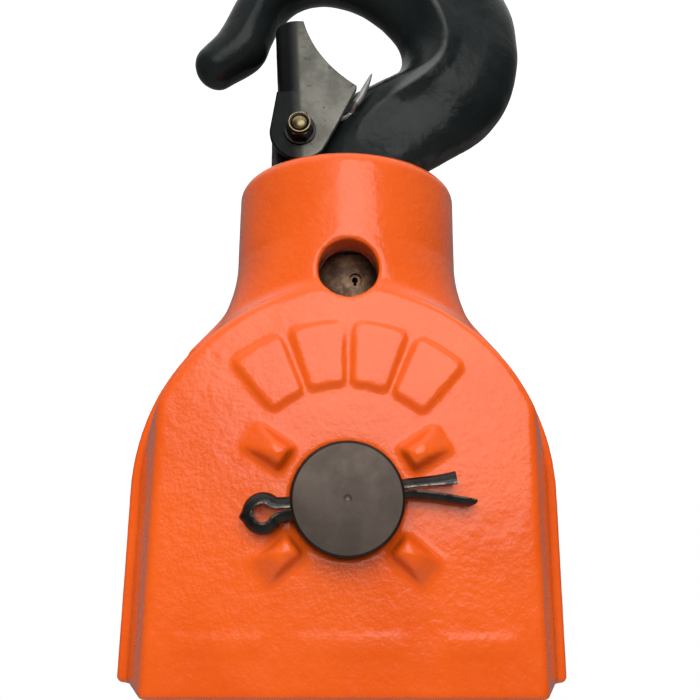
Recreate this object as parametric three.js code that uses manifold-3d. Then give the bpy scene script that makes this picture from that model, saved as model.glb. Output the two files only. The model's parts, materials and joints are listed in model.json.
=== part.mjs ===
// Bottom hook block of a two-fall chain hoist, in millimetres, +Z up, hanging from its chain.
// The origin is the centre of the chain wheel. The wheel's axle lies along Y, the hook's shank along Z,
// and the front of the frame, where the split pin holds the axle, faces -Y.
import * as THREE from "three";
import { mergeVertices } from "three/addons/utils/BufferGeometryUtils.js";
import Module from "manifold-3d";

const wasm = await Module();
wasm.setup();

const GAP = 0.3; // clearance between pieces that touch or fit

// Frame casting
const FRAME_DEPTH = 59.5;
const FACE_HALF_WIDTH = 43.9;
const FACE_ARCH_RADIUS = 47.9;
const STEP_HALF_WIDTH = 51.3;
const RIB_HALF_WIDTH = 53.8;
const RIB_DEPTH = 23.7;
const ARCH_CENTRE_Z = -3;
const ENTRY_Z = 42.4;
const NECK_RADIUS = 30.5;
const NECK_END_Z = -87.1;
const NECK_EDGE_RADIUS = 3.3;
const FLARE_RADIUS = 42;
const FLARE_START_Z = -66;
const FLARE_END_Z = -36;
const FLARE_START_RADIUS = 30.48; // just inside the neck, so that their skins never coincide
const FLARE_FLATTENING = 0.8; // how much its front and back draw in
const FLARE_SQUARENESS = 0.6; // how far its section turns from round towards square
const SLOT_HALF_WIDTH = 15.5;
const SLOT_RADIUS = 46.8;
const WELL_RADIUS = 21.5;
const SEAT_Z = -74.5;
const NECK_BORE_RADIUS = 13;
const ACCESS_HOLE_RADIUS = 7.4;
const ACCESS_HOLE_Z = -55.5;
const LUG_HEIGHT = 4;
const PAD_HEIGHT = 0.9;
const PAD_INNER_RADIUS = 26.5;
const PAD_OUTER_RADIUS = 41.5;

// Axle and split pin
const AXLE_RADIUS = 12.5;
const AXLE_STAND_OUT = 9.4;
const AXLE_HEAD_RADIUS = 17.5;
const AXLE_HEAD_DEPTH = 5.5;
const PIN_RADIUS = 2.3;
const PIN_Y = -34;
const PIN_TURN = -THREE.MathUtils.degToRad(9.8);
const PIN_EYE_X = 19.3;

// Chain wheel for 7.1 x 21 mm load chain
const WHEEL_RADIUS = 40;
const WHEEL_HALF_WIDTH = 14.5;
const POCKETS = 5;
const POCKET_FLOOR = 28.5;
const POCKET_LENGTH = 36;
const POCKET_WIDTH = 24.8;
const GROOVE_FLOOR = 21.5;
const GROOVE_HALF_WIDTH = 4.6;
const BUSH_RADIUS = 16;
const SPACER_RADIUS = 19;

// Swivel: hook nut on a thrust ball bearing
const SHANK_RADIUS = 12;
const NUT_RADIUS = 20;
const NUT_BOTTOM_Z = -63;
const NUT_TOP_Z = -48.6;
const NUT_PIN_Z = -55.8;
const NUT_PIN_RADIUS = 1.65;
const NUT_PIN_BORE = 0.85;
const NUT_PIN_TURN = -THREE.MathUtils.degToRad(5.7);
const RACE_RADIUS = 21;
const RACE_DEPTH = 3.6;
const BALLS = 12;
const BALL_RADIUS = 2.4;
const BALL_CIRCLE = 16.6;

// Hook and latch
const COLLAR_RADIUS = 19;
const COLLAR_TOP_Z = -88.4;
const COLLAR_BOTTOM_Z = -92.4;
const PIVOT_X = 13.5;
const PIVOT_Z = -101.8;
const PIVOT_RADIUS = 2;
const LUG_RADIUS = 8.4;
const LUG_REACH = 10.8;
const LUG_HALF_WIDTH = 6.5;
const LATCH_INNER = 11;
const LATCH_SHEET = 1.8;
const LATCH_BEND = 6.5;
const LATCH_TOP_Z = -137;
const LATCH_BACK = 21.8;
const LATCH_LEAN = 0.06;
const WEB_LOW_Z = -113.8;
const EAR_RADIUS = 8.6;
const SPRING_WIRE_RADIUS = 0.7;
const SPRING_RADIUS = 3.2;
const SPRING_TURNS = 1.72;
const SPRING_START_Y = 7.5;
const SPRING_ADVANCE = 2.5;
const SPRING_LEG = [
  [10, -105.6],
  [3, -108.4],
  [-1.4, -112.2],
  [-6.3, -122.1],
];

// Hook sections from the shank round to the tip: inner point x, z, outer point x, z,
// half thickness, and the share of the height at which the section is thickest.
const HOOK_SECTIONS = [
  [12, -84, -12, -84, 12, 0.5],
  [12, -91, -12, -91, 12, 0.5],
  [11.5, -97, -20, -94.5, 9.6, 0.45],
  [10, -108.5, -31, -101, 9.2, 0.42],
  [3.5, -117.5, -41, -107.7, 9.8, 0.4],
  [-5.5, -122.3, -48, -117.2, 12, 0.36],
  [-13.5, -126.5, -51.3, -127.5, 12.4, 0.34],
  [-16.6, -132, -52.2, -138, 12.5, 0.33],
  [-15, -139, -50, -151, 12.5, 0.33],
  [-9.5, -146, -42, -164, 12.3, 0.34],
  [-1, -151.8, -28, -175, 12, 0.35],
  [8, -153.8, -9, -181, 11.5, 0.37],
  [15.5, -151.5, 11.5, -178, 10.8, 0.4],
  [20.5, -146, 25.5, -167, 9.8, 0.43],
  [22.9, -138.6, 34.3, -151.5, 8.6, 0.46],
  [26, -130.9, 39.4, -140.3, 7.6, 0.5],
  [36, -124.2, 44.2, -134.3, 6.7, 0.5],
];
const HOOK_STEPS = 34;
const HOOK_FACETS = 16;
const TIP_HEADING = new THREE.Vector2(0.78, 0.62);
const TIP_REACH = 6;

const ORANGE = new THREE.MeshStandardMaterial({ color: 0xf25a14, roughness: 0.3, metalness: 0 });
const FORGED = new THREE.MeshStandardMaterial({ color: 0x1c2021, roughness: 0.45, metalness: 0.3 });
const PIN_GREY = new THREE.MeshStandardMaterial({ color: 0x4b4542, roughness: 0.5, metalness: 0.6 });
const BLACK_OXIDE = new THREE.MeshStandardMaterial({ color: 0x191919, roughness: 0.4, metalness: 0.7 });
const SHEET_STEEL = new THREE.MeshStandardMaterial({ color: 0x7d7c74, roughness: 0.4, metalness: 0.8 });
const WHEEL_STEEL = new THREE.MeshStandardMaterial({ color: 0x4a4b4d, roughness: 0.5, metalness: 0.8 });
const BRONZE = new THREE.MeshStandardMaterial({ color: 0xa67a3e, roughness: 0.35, metalness: 0.9 });
const BRIGHT = new THREE.MeshStandardMaterial({ color: 0xc4c4c2, roughness: 0.2, metalness: 1 });
const BROWN_STEEL = new THREE.MeshStandardMaterial({ color: 0x6e5240, roughness: 0.5, metalness: 0.6 });

// ---- Solids

function toSolid(geometry) {
  const bare = geometry.clone();
  bare.deleteAttribute("normal");
  bare.deleteAttribute("uv");
  const merged = mergeVertices(bare, 1e-4);
  const index = new Uint32Array(merged.index.array);
  const positions = merged.attributes.position.array;
  return new wasm.Manifold(new wasm.Mesh({ numProp: 3, vertProperties: positions, triVerts: index }));
}

function toGeometry(solid) {
  const mesh = solid.getMesh();
  const geometry = new THREE.BufferGeometry();
  geometry.setAttribute("position", new THREE.BufferAttribute(mesh.vertProperties, 3));
  geometry.setIndex(new THREE.BufferAttribute(mesh.triVerts, 1));
  geometry.computeVertexNormals();
  return geometry;
}

// A turned solid about Z; the profile holds [radius, z] points with the outside going up.
function turnedZ(profile, segments = 30) {
  return turnedY(profile, segments, (geometry) => geometry.rotateX(Math.PI / 2));
}

// A turned solid about Y; the profile holds [radius, y] points with the outside going up.
function turnedY(profile, segments = 30, place = (geometry) => geometry) {
  const points = profile.map(([r, h]) => new THREE.Vector2(r, h));
  return toSolid(place(new THREE.LatheGeometry(points, segments)));
}

function ringProfile(inner, outer, low, high) {
  return [
    [inner, low],
    [outer, low],
    [outer, high],
    [inner, high],
    [inner, low],
  ];
}

function rodProfile(radius, low, high, chamfer = 0) {
  return [
    [0, low],
    [radius - chamfer, low],
    [radius, low + chamfer],
    [radius, high - chamfer],
    [radius - chamfer, high],
    [0, high],
  ];
}

// A plate with its outline in the XZ plane and its thickness along Y.
function plateY(shape, low, high) {
  const geometry = new THREE.ExtrudeGeometry(shape, {
    depth: high - low,
    bevelEnabled: false,
    curveSegments: 8,
  });
  return toSolid(geometry.rotateX(Math.PI / 2).translate(0, high, 0));
}

function block(xLow, xHigh, yLow, yHigh, zLow, zHigh) {
  const geometry = new THREE.BoxGeometry(xHigh - xLow, yHigh - yLow, zHigh - zLow);
  geometry.translate((xLow + xHigh) / 2, (yLow + yHigh) / 2, (zLow + zHigh) / 2);
  return toSolid(geometry);
}

// A closed skin through rings of points, with flat ends. Seen from the first ring's side,
// looking along the loft, each ring runs clockwise.
function loft(rings) {
  const count = rings[0].length;
  const positions = rings.flat().flatMap((p) => [p.x, p.y, p.z]);
  const index = [];
  for (let r = 0; r < rings.length - 1; r++) {
    for (let i = 0; i < count; i++) {
      const a = r * count + i;
      const b = r * count + ((i + 1) % count);
      index.push(a, b, a + count, b, b + count, a + count);
    }
  }
  const last = (rings.length - 1) * count;
  for (let i = 1; i < count - 1; i++) {
    index.push(0, i + 1, i);
    index.push(last, last + i, last + i + 1);
  }
  const geometry = new THREE.BufferGeometry();
  geometry.setAttribute("position", new THREE.Float32BufferAttribute(positions, 3));
  geometry.setIndex(index);
  return toSolid(geometry);
}

function named(name, solid, material) {
  const mesh = new THREE.Mesh(toGeometry(solid), material);
  mesh.name = name;
  return mesh;
}

// ---- Frame

// The frame's outline at one depth: straight sides closed by an arch, as points in XZ.
function archOutline(halfWidth, archRadius, steps = 18) {
  const side = Math.asin(Math.min(1, halfWidth / archRadius));
  const points = [new THREE.Vector2(-halfWidth, ENTRY_Z), new THREE.Vector2(halfWidth, ENTRY_Z)];
  for (let i = 0; i <= steps; i++) {
    const angle = side - (2 * side * i) / steps;
    const x = archRadius * Math.sin(angle);
    points.push(new THREE.Vector2(x, ARCH_CENTRE_Z - archRadius * Math.cos(angle)));
  }
  return points;
}

function atDepth(outline, y) {
  return outline.map((p) => new THREE.Vector3(p.x, y, p.y));
}

function frameSlab() {
  const face = archOutline(FACE_HALF_WIDTH, FACE_ARCH_RADIUS);
  const step = archOutline(STEP_HALF_WIDTH, STEP_HALF_WIDTH);
  const rib = archOutline(RIB_HALF_WIDTH, RIB_HALF_WIDTH);
  const front = -FRAME_DEPTH / 2;
  const slab = loft([
    atDepth(face, front),
    atDepth(step, -RIB_DEPTH / 2),
    atDepth(step, RIB_DEPTH / 2),
    atDepth(face, -front),
  ]);
  const middle = loft([atDepth(rib, -RIB_DEPTH / 2 + 0.01), atDepth(rib, RIB_DEPTH / 2 - 0.01)]);
  return slab.add(middle);
}

function frameNeck() {
  const profile = [[0, NECK_END_Z]];
  for (let i = 0; i <= 5; i++) {
    const angle = (Math.PI / 2) * (i / 5);
    const r = NECK_RADIUS - NECK_EDGE_RADIUS * (1 - Math.sin(angle));
    profile.push([r, NECK_END_Z + NECK_EDGE_RADIUS * (1 - Math.cos(angle))]);
  }
  profile.push([NECK_RADIUS, -30], [0, -30]);
  return turnedZ(profile, 36);
}

// The hollow curve that leads the round neck out into the arch: its half width at a height z.
function flareHalfWidth(z) {
  const drop = z - FLARE_START_Z;
  return FLARE_START_RADIUS + FLARE_RADIUS - Math.sqrt(FLARE_RADIUS ** 2 - drop ** 2);
}

function frameFlare() {
  const rings = [];
  const steps = 6;
  for (let i = 0; i <= steps; i++) {
    const share = i / steps;
    const z = FLARE_START_Z + (FLARE_END_Z - FLARE_START_Z) * share;
    const squareness = 1 / (1 + FLARE_SQUARENESS * share);
    const depth = FLARE_START_RADIUS - FLARE_FLATTENING * share;
    const ring = [];
    for (let k = 0; k < 36; k++) {
      const angle = (2 * Math.PI * k) / 36;
      const x = Math.sign(Math.cos(angle)) * Math.abs(Math.cos(angle)) ** squareness;
      const y = Math.sign(Math.sin(angle)) * Math.abs(Math.sin(angle)) ** squareness;
      ring.push(new THREE.Vector3(flareHalfWidth(z) * x, depth * y, z));
    }
    rings.push(ring);
  }
  return loft(rings);
}

// A raised stop lug: a truncated pyramid on the front face, pointing at the axle.
function stopLug(radius, angle) {
  const face = -FRAME_DEPTH / 2;
  const along = new THREE.Vector3(Math.cos(angle), 0, Math.sin(angle));
  const across = new THREE.Vector3(-Math.sin(angle), 0, Math.cos(angle));
  const corners = (centre, length, width, y) =>
    [
      [-1, -1],
      [-1, 1],
      [1, 1],
      [1, -1],
    ].map(([a, b]) => {
      const point = along.clone().multiplyScalar(centre + (a * length) / 2);
      return point.addScaledVector(across, (b * width) / 2).setY(y);
    });
  return loft([corners(radius - 2.6, 4, 3.4, face - LUG_HEIGHT), corners(radius, 12, 7.6, face + 1)]);
}

// A blank raised pad, a sector of a ring round the axle on the front face.
function raisedPad(middle, halfAngle) {
  const shape = new THREE.Shape();
  shape.absarc(0, 0, PAD_OUTER_RADIUS, middle - halfAngle, middle + halfAngle, false);
  shape.absarc(0, 0, PAD_INNER_RADIUS, middle + halfAngle, middle - halfAngle, true);
  return plateY(shape, -FRAME_DEPTH / 2 - PAD_HEIGHT, -FRAME_DEPTH / 2 + 1);
}

function frameHollow() {
  const slotShape = new THREE.Shape();
  slotShape.moveTo(SLOT_RADIUS, ENTRY_Z + 10);
  slotShape.lineTo(-SLOT_RADIUS, ENTRY_Z + 10);
  slotShape.lineTo(-SLOT_RADIUS, 0);
  slotShape.absarc(0, 0, SLOT_RADIUS, Math.PI, 2 * Math.PI, false);
  const slot = plateY(slotShape, -SLOT_HALF_WIDTH, SLOT_HALF_WIDTH);
  const w = WELL_RADIUS;
  const channel = block(-w, w, -w, w, -30, ENTRY_Z + 10);
  const well = turnedZ(rodProfile(w, SEAT_Z, -20), 32);
  const neckBore = turnedZ(rodProfile(NECK_BORE_RADIUS, NECK_END_Z - 5, -60), 28);
  const axleBore = turnedY(rodProfile(AXLE_RADIUS + GAP, -FRAME_DEPTH, FRAME_DEPTH), 32);
  return slot.add(channel).add(well).add(neckBore).add(axleBore).add(accessHole());
}

function accessHole() {
  const geometry = new THREE.CylinderGeometry(ACCESS_HOLE_RADIUS, ACCESS_HOLE_RADIUS, 30, 24);
  return toSolid(geometry.translate(0, -30, ACCESS_HOLE_Z));
}

function hookFrame() {
  let frame = frameSlab().add(frameNeck()).add(frameFlare());
  const lugs = [
    [22, 33],
    [22, 147],
    [20.6, 220],
    [20.6, 320],
  ];
  for (const [radius, degrees] of lugs) {
    frame = frame.add(stopLug(radius, -THREE.MathUtils.degToRad(degrees)));
  }
  for (const degrees of [58, 79.5, 101, 122.5]) {
    frame = frame.add(raisedPad(-THREE.MathUtils.degToRad(degrees), 0.155));
  }
  return frame.subtract(frameHollow());
}

// ---- Axle and its split pin

function alongPin(geometry) {
  return geometry.rotateY(PIN_TURN).translate(0, PIN_Y, 0);
}

function axle() {
  const front = -FRAME_DEPTH / 2 - AXLE_STAND_OUT;
  const back = FRAME_DEPTH / 2 + GAP;
  const shaft = turnedY(rodProfile(AXLE_RADIUS, front, back + 1, 0.6), 36);
  const head = turnedY(rodProfile(AXLE_HEAD_RADIUS, back, back + AXLE_HEAD_DEPTH, 1.2), 36);
  const punch = turnedY([[0, front - 1], [0.9, front - 1], [0.9, front], [0, front + 0.6]], 12);
  const hole = new THREE.CylinderGeometry(PIN_RADIUS + GAP, PIN_RADIUS + GAP, 60, 12);
  return shaft.add(head).subtract(punch).subtract(toSolid(alongPin(hole.rotateZ(Math.PI / 2))));
}

// A round bar along a smooth line through the points.
function bar(points, radius, steps, facets = 10) {
  const circle = new THREE.Shape();
  circle.absarc(0, 0, radius, 0, 2 * Math.PI, false);
  return new THREE.ExtrudeGeometry(circle, {
    steps,
    curveSegments: facets,
    extrudePath: new THREE.CatmullRomCurve3(points),
    bevelEnabled: false,
  });
}

function splitPin() {
  const eye = new THREE.TorusGeometry(3.05, 1.2, 6, 16).rotateX(Math.PI / 2).translate(PIN_EYE_X, 0, 0);
  const stem = new THREE.CylinderGeometry(PIN_RADIUS, PIN_RADIUS, 32, 12);
  stem.rotateZ(Math.PI / 2).translate(-0.2, 0, 0);
  const legs = [
    { side: -1, end: 25, spread: 1.5, radius: 1.2 },
    { side: 1, end: 29.3, spread: 4.7, radius: 1.2 },
  ];
  let pin = toSolid(alongPin(eye)).add(toSolid(alongPin(stem)));
  for (const leg of legs) {
    const points = [
      new THREE.Vector3(-14, 0, leg.side * 0.95),
      new THREE.Vector3(-18, 0, leg.side * 1.2),
      new THREE.Vector3(-leg.end, 0, leg.side * leg.spread),
    ];
    pin = pin.add(toSolid(alongPin(bar(points, leg.radius, 4, 4))));
  }
  return pin;
}

// ---- Chain wheel

function chainWheel() {
  const w = WHEEL_HALF_WIDTH;
  const g = GROOVE_HALF_WIDTH;
  let wheel = turnedY(
    [
      [BUSH_RADIUS + GAP, -w],
      [WHEEL_RADIUS - 1, -w],
      [WHEEL_RADIUS, -w + 1],
      [WHEEL_RADIUS, -g - 1],
      [WHEEL_RADIUS - 4, -g],
      [GROOVE_FLOOR + 2, -g],
      [GROOVE_FLOOR, -g + 2],
      [GROOVE_FLOOR, g - 2],
      [GROOVE_FLOOR + 2, g],
      [WHEEL_RADIUS - 4, g],
      [WHEEL_RADIUS, g + 1],
      [WHEEL_RADIUS, w - 1],
      [WHEEL_RADIUS - 1, w],
      [BUSH_RADIUS + GAP, w],
      [BUSH_RADIUS + GAP, -w],
    ],
    30,
  );
  for (let i = 0; i < POCKETS; i++) {
    wheel = wheel.subtract(chainPocket((2 * Math.PI * (i + 0.5)) / POCKETS));
  }
  return wheel;
}

// The recess in which a flat link lies: a plan of the link, sunk to the pocket floor.
function chainPocket(angle) {
  const half = POCKET_LENGTH / 2 - POCKET_WIDTH / 2;
  const plan = new THREE.Shape();
  plan.absarc(half, 0, POCKET_WIDTH / 2, -Math.PI / 2, Math.PI / 2, false);
  plan.absarc(-half, 0, POCKET_WIDTH / 2, Math.PI / 2, 1.5 * Math.PI, false);
  const cut = new THREE.ExtrudeGeometry(plan, { depth: 30, bevelEnabled: false, curveSegments: 4 });
  return toSolid(cut.translate(0, 0, POCKET_FLOOR).rotateY(angle));
}

// ---- Swivel bearing and nut

function nutPinHole(radius) {
  const hole = new THREE.CylinderGeometry(radius, radius, 60, 16);
  return toSolid(hole.rotateZ(NUT_PIN_TURN).translate(0, 0, NUT_PIN_Z));
}

function hookNut() {
  const body = turnedZ(rodProfile(NUT_RADIUS, NUT_BOTTOM_Z, NUT_TOP_Z, 1), 30);
  const bore = turnedZ(rodProfile(SHANK_RADIUS + GAP, NUT_BOTTOM_Z - 5, NUT_TOP_Z + 5), 30);
  return body.subtract(bore).subtract(nutPinHole(NUT_PIN_RADIUS + GAP / 2));
}

function nutSpringPin() {
  const tube = new THREE.Shape();
  tube.absarc(0, 0, NUT_PIN_RADIUS, 0.35, 2 * Math.PI - 0.35, false);
  tube.absarc(0, 0, NUT_PIN_BORE, 2 * Math.PI - 0.35, 0.35, true);
  const length = 2 * NUT_RADIUS - 1.5;
  const pin = new THREE.ExtrudeGeometry(tube, { depth: length, bevelEnabled: false, curveSegments: 8 });
  pin.translate(0, 0, -length / 2).rotateX(Math.PI / 2);
  return toSolid(pin.rotateZ(NUT_PIN_TURN).translate(0, 0, NUT_PIN_Z));
}

// A bearing race with its ball groove on the side that faces the balls.
function race(bore, low, high, grooveIsUp) {
  const grooveZ = grooveIsUp ? high : low;
  const side = grooveIsUp ? -1 : 1;
  const groove = [];
  for (let i = 0; i <= 4; i++) {
    const angle = Math.PI * (i / 4);
    groove.push([BALL_CIRCLE + 1.5 * Math.cos(angle), grooveZ + side * 0.5 * Math.sin(angle)]);
  }
  const profile = grooveIsUp
    ? [[bore, low], [RACE_RADIUS, low], [RACE_RADIUS, high], ...groove, [bore, high], [bore, low]]
    : [[bore, low], ...groove.reverse(), [RACE_RADIUS, low], [RACE_RADIUS, high], [bore, high], [bore, low]];
  return turnedZ(profile, 30);
}

const LOWER_RACE_TOP = SEAT_Z + GAP + RACE_DEPTH;
const UPPER_RACE_LOW = NUT_BOTTOM_Z - GAP - RACE_DEPTH;
const BALL_Z = (LOWER_RACE_TOP + UPPER_RACE_LOW) / 2;

function bearingCage() {
  let cage = turnedZ(ringProfile(13.4, 19.8, BALL_Z - 0.8, BALL_Z + 0.8), 30);
  for (let i = 0; i < BALLS; i++) {
    const pocket = new THREE.CylinderGeometry(BALL_RADIUS + GAP, BALL_RADIUS + GAP, 8, 8);
    pocket.rotateX(Math.PI / 2).translate(BALL_CIRCLE, 0, BALL_Z);
    cage = cage.subtract(toSolid(pocket.rotateZ((2 * Math.PI * i) / BALLS)));
  }
  return cage;
}

function bearingBall(i) {
  const ball = new THREE.SphereGeometry(BALL_RADIUS, 10, 6);
  const angle = (2 * Math.PI * i) / BALLS;
  ball.translate(BALL_CIRCLE * Math.cos(angle), BALL_CIRCLE * Math.sin(angle), BALL_Z);
  return toSolid(ball);
}

// ---- Hook

// A ring of points round one hook section: a rounded nose inside, a fuller back outside.
function hookRing(inner, outer, half, ridge) {
  const ring = [];
  for (let i = 0; i < HOOK_FACETS; i++) {
    const angle = (2 * Math.PI * i) / HOOK_FACETS;
    const along = Math.cos(angle);
    const reach = along < 0 ? ridge * (1 + along) : ridge + (1 - ridge) * along ** 0.9;
    const side = Math.sign(Math.sin(angle)) * Math.abs(Math.sin(angle)) ** 0.92;
    const x = inner.x + (outer.x - inner.x) * reach;
    const z = inner.y + (outer.y - inner.y) * reach;
    ring.push(new THREE.Vector3(x, half * side, z));
  }
  return ring;
}

function hookSweep() {
  const inner = new THREE.CatmullRomCurve3(HOOK_SECTIONS.map((s) => new THREE.Vector3(s[0], s[1], s[4])));
  const outer = new THREE.CatmullRomCurve3(HOOK_SECTIONS.map((s) => new THREE.Vector3(s[2], s[3], s[5])));
  const rings = [];
  for (let i = 0; i <= HOOK_STEPS; i++) {
    const a = inner.getPoint(i / HOOK_STEPS);
    const b = outer.getPoint(i / HOOK_STEPS);
    rings.push(hookRing(a, b, a.z, b.z));
  }
  rings.push(...hookTip());
  return loft(rings);
}

// The rounded end of the tip: the last section shrinks as it moves on.
function hookTip() {
  const [xIn, zIn, xOut, zOut, half] = HOOK_SECTIONS[HOOK_SECTIONS.length - 1];
  const centre = new THREE.Vector2((xIn + xOut) / 2, (zIn + zOut) / 2);
  const steps = 5;
  const rings = [];
  for (let i = 1; i <= steps; i++) {
    const angle = (Math.PI / 2) * (i / (steps + 0.4));
    const moved = centre.clone().addScaledVector(TIP_HEADING, TIP_REACH * Math.sin(angle));
    const inner = new THREE.Vector2(xIn, zIn).sub(centre).multiplyScalar(Math.cos(angle)).add(moved);
    const outer = new THREE.Vector2(xOut, zOut).sub(centre).multiplyScalar(Math.cos(angle)).add(moved);
    rings.push(hookRing(inner, outer, half * Math.cos(angle), 0.5));
  }
  return rings;
}

// The lug that carries the latch, an ear on the throat side of the shank.
function latchLug() {
  const shape = new THREE.Shape();
  shape.moveTo(2, COLLAR_TOP_Z - 2);
  shape.lineTo(PIVOT_X + LUG_RADIUS - 1, COLLAR_TOP_Z - 2);
  shape.absellipse(PIVOT_X, PIVOT_Z, LUG_RADIUS, LUG_REACH, 0, -Math.PI * 0.6, true, 0);
  shape.lineTo(2, PIVOT_Z - 14);
  return plateY(shape, -LUG_HALF_WIDTH, LUG_HALF_WIDTH);
}

function hook() {
  const shank = turnedZ(rodProfile(SHANK_RADIUS, -86, NUT_TOP_Z + 1, 1), 30);
  const collar = turnedZ(rodProfile(COLLAR_RADIUS, COLLAR_BOTTOM_Z, COLLAR_TOP_Z, 1.2), 30);
  const pivotHole = new THREE.CylinderGeometry(PIVOT_RADIUS + GAP, PIVOT_RADIUS + GAP, 60, 20);
  return shank
    .add(hookSweep())
    .add(collar)
    .add(latchLug())
    .subtract(toSolid(pivotHole.translate(PIVOT_X, 0, PIVOT_Z)))
    .subtract(nutPinHole(NUT_PIN_RADIUS + GAP / 2));
}

// ---- Latch

// The latch seen from the side: a hollow throat edge, a slanting lower edge, an ear round the pivot.
function latchSide() {
  const shape = new THREE.Shape();
  shape.moveTo(LATCH_BACK, LATCH_TOP_Z);
  shape.lineTo(13.2, LATCH_TOP_Z);
  shape.bezierCurveTo(11.4, -130, 6.5, -122, -2.4, -116.4);
  shape.lineTo(-2.3, -115.4);
  shape.lineTo(2.6, -105);
  shape.absarc(PIVOT_X, PIVOT_Z, EAR_RADIUS, Math.PI * 0.77, 0, true);
  shape.lineTo(LATCH_BACK - LATCH_LEAN * (WEB_LOW_Z - LATCH_TOP_Z), WEB_LOW_Z);
  return shape;
}

// The folded section: two cheeks joined by a web with round bends, open towards the throat.
function latchChannel(outer, bend) {
  const back = LATCH_BACK - (LATCH_INNER + LATCH_SHEET - outer);
  const shape = new THREE.Shape();
  shape.moveTo(-30, -outer);
  shape.lineTo(back - bend, -outer);
  shape.absarc(back - bend, -outer + bend, bend, -Math.PI / 2, 0, false);
  shape.absarc(back - bend, outer - bend, bend, 0, Math.PI / 2, false);
  shape.lineTo(-30, outer);
  const geometry = new THREE.ExtrudeGeometry(shape, { depth: 70, bevelEnabled: false, curveSegments: 6 });
  // The web leans outwards towards the tip of the latch.
  const lean = new THREE.Matrix4();
  lean.elements[8] = -LATCH_LEAN;
  return toSolid(geometry.translate(0, 0, -35).applyMatrix4(lean).translate(0, 0, LATCH_TOP_Z));
}

function latch() {
  const full = LATCH_INNER + LATCH_SHEET;
  const side = plateY(latchSide(), -full, full);
  const channel = latchChannel(full, LATCH_BEND).subtract(latchChannel(LATCH_INNER, LATCH_BEND - LATCH_SHEET));
  const cheeks = block(-30, 40, -full, full, WEB_LOW_Z, -90).subtract(
    block(-31, 41, -LATCH_INNER, LATCH_INNER, WEB_LOW_Z - 1, -89),
  );
  const folded = channel.intersect(block(-31, 41, -20, 20, -150, WEB_LOW_Z)).add(cheeks);
  const hole = new THREE.CylinderGeometry(PIVOT_RADIUS + GAP, PIVOT_RADIUS + GAP, 60, 20);
  return side.intersect(folded).subtract(toSolid(hole.translate(PIVOT_X, 0, PIVOT_Z)));
}

function atPivot(solid) {
  return solid.translate([PIVOT_X, 0, PIVOT_Z]);
}

const CHEEK_FACE = LATCH_INNER + LATCH_SHEET;
const WASHER_DEPTH = 0.5;

function pivotBolt() {
  const back = CHEEK_FACE + GAP;
  const shaft = turnedY(rodProfile(PIVOT_RADIUS, -CHEEK_FACE - 5, back + 1, 0.4), 20);
  const head = new THREE.CylinderGeometry(4, 4, 2.8, 6).translate(0, back + 1.4, 0);
  return atPivot(shaft.add(toSolid(head)));
}

function pivotWasher() {
  const low = -CHEEK_FACE - GAP - WASHER_DEPTH;
  return atPivot(turnedY(ringProfile(PIVOT_RADIUS + GAP, 4.5, low, low + WASHER_DEPTH), 28));
}

function pivotNut() {
  const back = -CHEEK_FACE - 2 * GAP - WASHER_DEPTH;
  const hexagon = new THREE.CylinderGeometry(3.9, 3.9, 2.6, 6).translate(0, back - 1.3, 0);
  const collar = turnedY(rodProfile(3, back - 3.5, back - 2, 0.4), 24);
  const bore = turnedY(rodProfile(PIVOT_RADIUS + GAP, back - 8, back + 2), 24);
  return atPivot(toSolid(hexagon).add(collar).subtract(bore));
}

// The torsion spring: turns round the pivot between the lug and the front cheek, a short leg
// against the web of the latch, and a long leg that rests on the inside of the hook.
function latchSpring() {
  const points = [new THREE.Vector3(PIVOT_X + 0.4, -SPRING_START_Y, PIVOT_Z - 10)];
  const steps = 20;
  for (let i = 0; i <= steps; i++) {
    const angle = 2 * Math.PI * SPRING_TURNS * (i / steps);
    const x = PIVOT_X + SPRING_RADIUS * Math.cos(angle);
    const z = PIVOT_Z + SPRING_RADIUS * Math.sin(angle);
    points.push(new THREE.Vector3(x, -SPRING_START_Y - SPRING_ADVANCE * (i / steps), z));
  }
  for (const [x, z] of SPRING_LEG) {
    points.push(new THREE.Vector3(x, -SPRING_START_Y - SPRING_ADVANCE, z));
  }
  return toSolid(bar(points, SPRING_WIRE_RADIUS, 60, 3));
}

function wheelSpacer(side) {
  const low = WHEEL_HALF_WIDTH + GAP;
  const ring = ringProfile(AXLE_RADIUS + GAP, SPACER_RADIUS, low, WELL_RADIUS - GAP);
  const solid = turnedY(ring, 30);
  return side > 0 ? solid : solid.mirror([0, 1, 0]);
}

const group = new THREE.Group();
group.add(
  named("hook_frame", hookFrame(), ORANGE),
  named("axle", axle(), PIN_GREY),
  named("axle_split_pin", splitPin(), BLACK_OXIDE),
  named("chain_wheel", chainWheel(), WHEEL_STEEL),
  named("wheel_bush", turnedY(ringProfile(AXLE_RADIUS + GAP, BUSH_RADIUS, -14.4, 14.4), 30), BRONZE),
  named("wheel_spacer_front", wheelSpacer(-1), BRIGHT),
  named("wheel_spacer_rear", wheelSpacer(1), BRIGHT),
  named("hook", hook(), FORGED),
  named("hook_nut", hookNut(), BROWN_STEEL),
  named("nut_spring_pin", nutSpringPin(), BROWN_STEEL),
  named("bearing_lower_race", race(13.1, SEAT_Z + GAP, LOWER_RACE_TOP, true), BRIGHT),
  named("bearing_upper_race", race(SHANK_RADIUS + GAP, UPPER_RACE_LOW, NUT_BOTTOM_Z - GAP, false), BRIGHT),
  named("bearing_cage", bearingCage(), BRONZE),
  named("hook_latch", latch(), SHEET_STEEL),
  named("latch_pivot_bolt", pivotBolt(), BRONZE),
  named("latch_pivot_washer", pivotWasher(), BRIGHT),
  named("latch_pivot_nut", pivotNut(), BLACK_OXIDE),
  named("latch_spring", latchSpring(), BRIGHT),
);
for (let i = 0; i < BALLS; i++) {
  group.add(named("bearing_ball_" + String(i + 1).padStart(2, "0"), bearingBall(i), BRIGHT));
}

export default group;
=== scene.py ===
import json
import math

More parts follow.
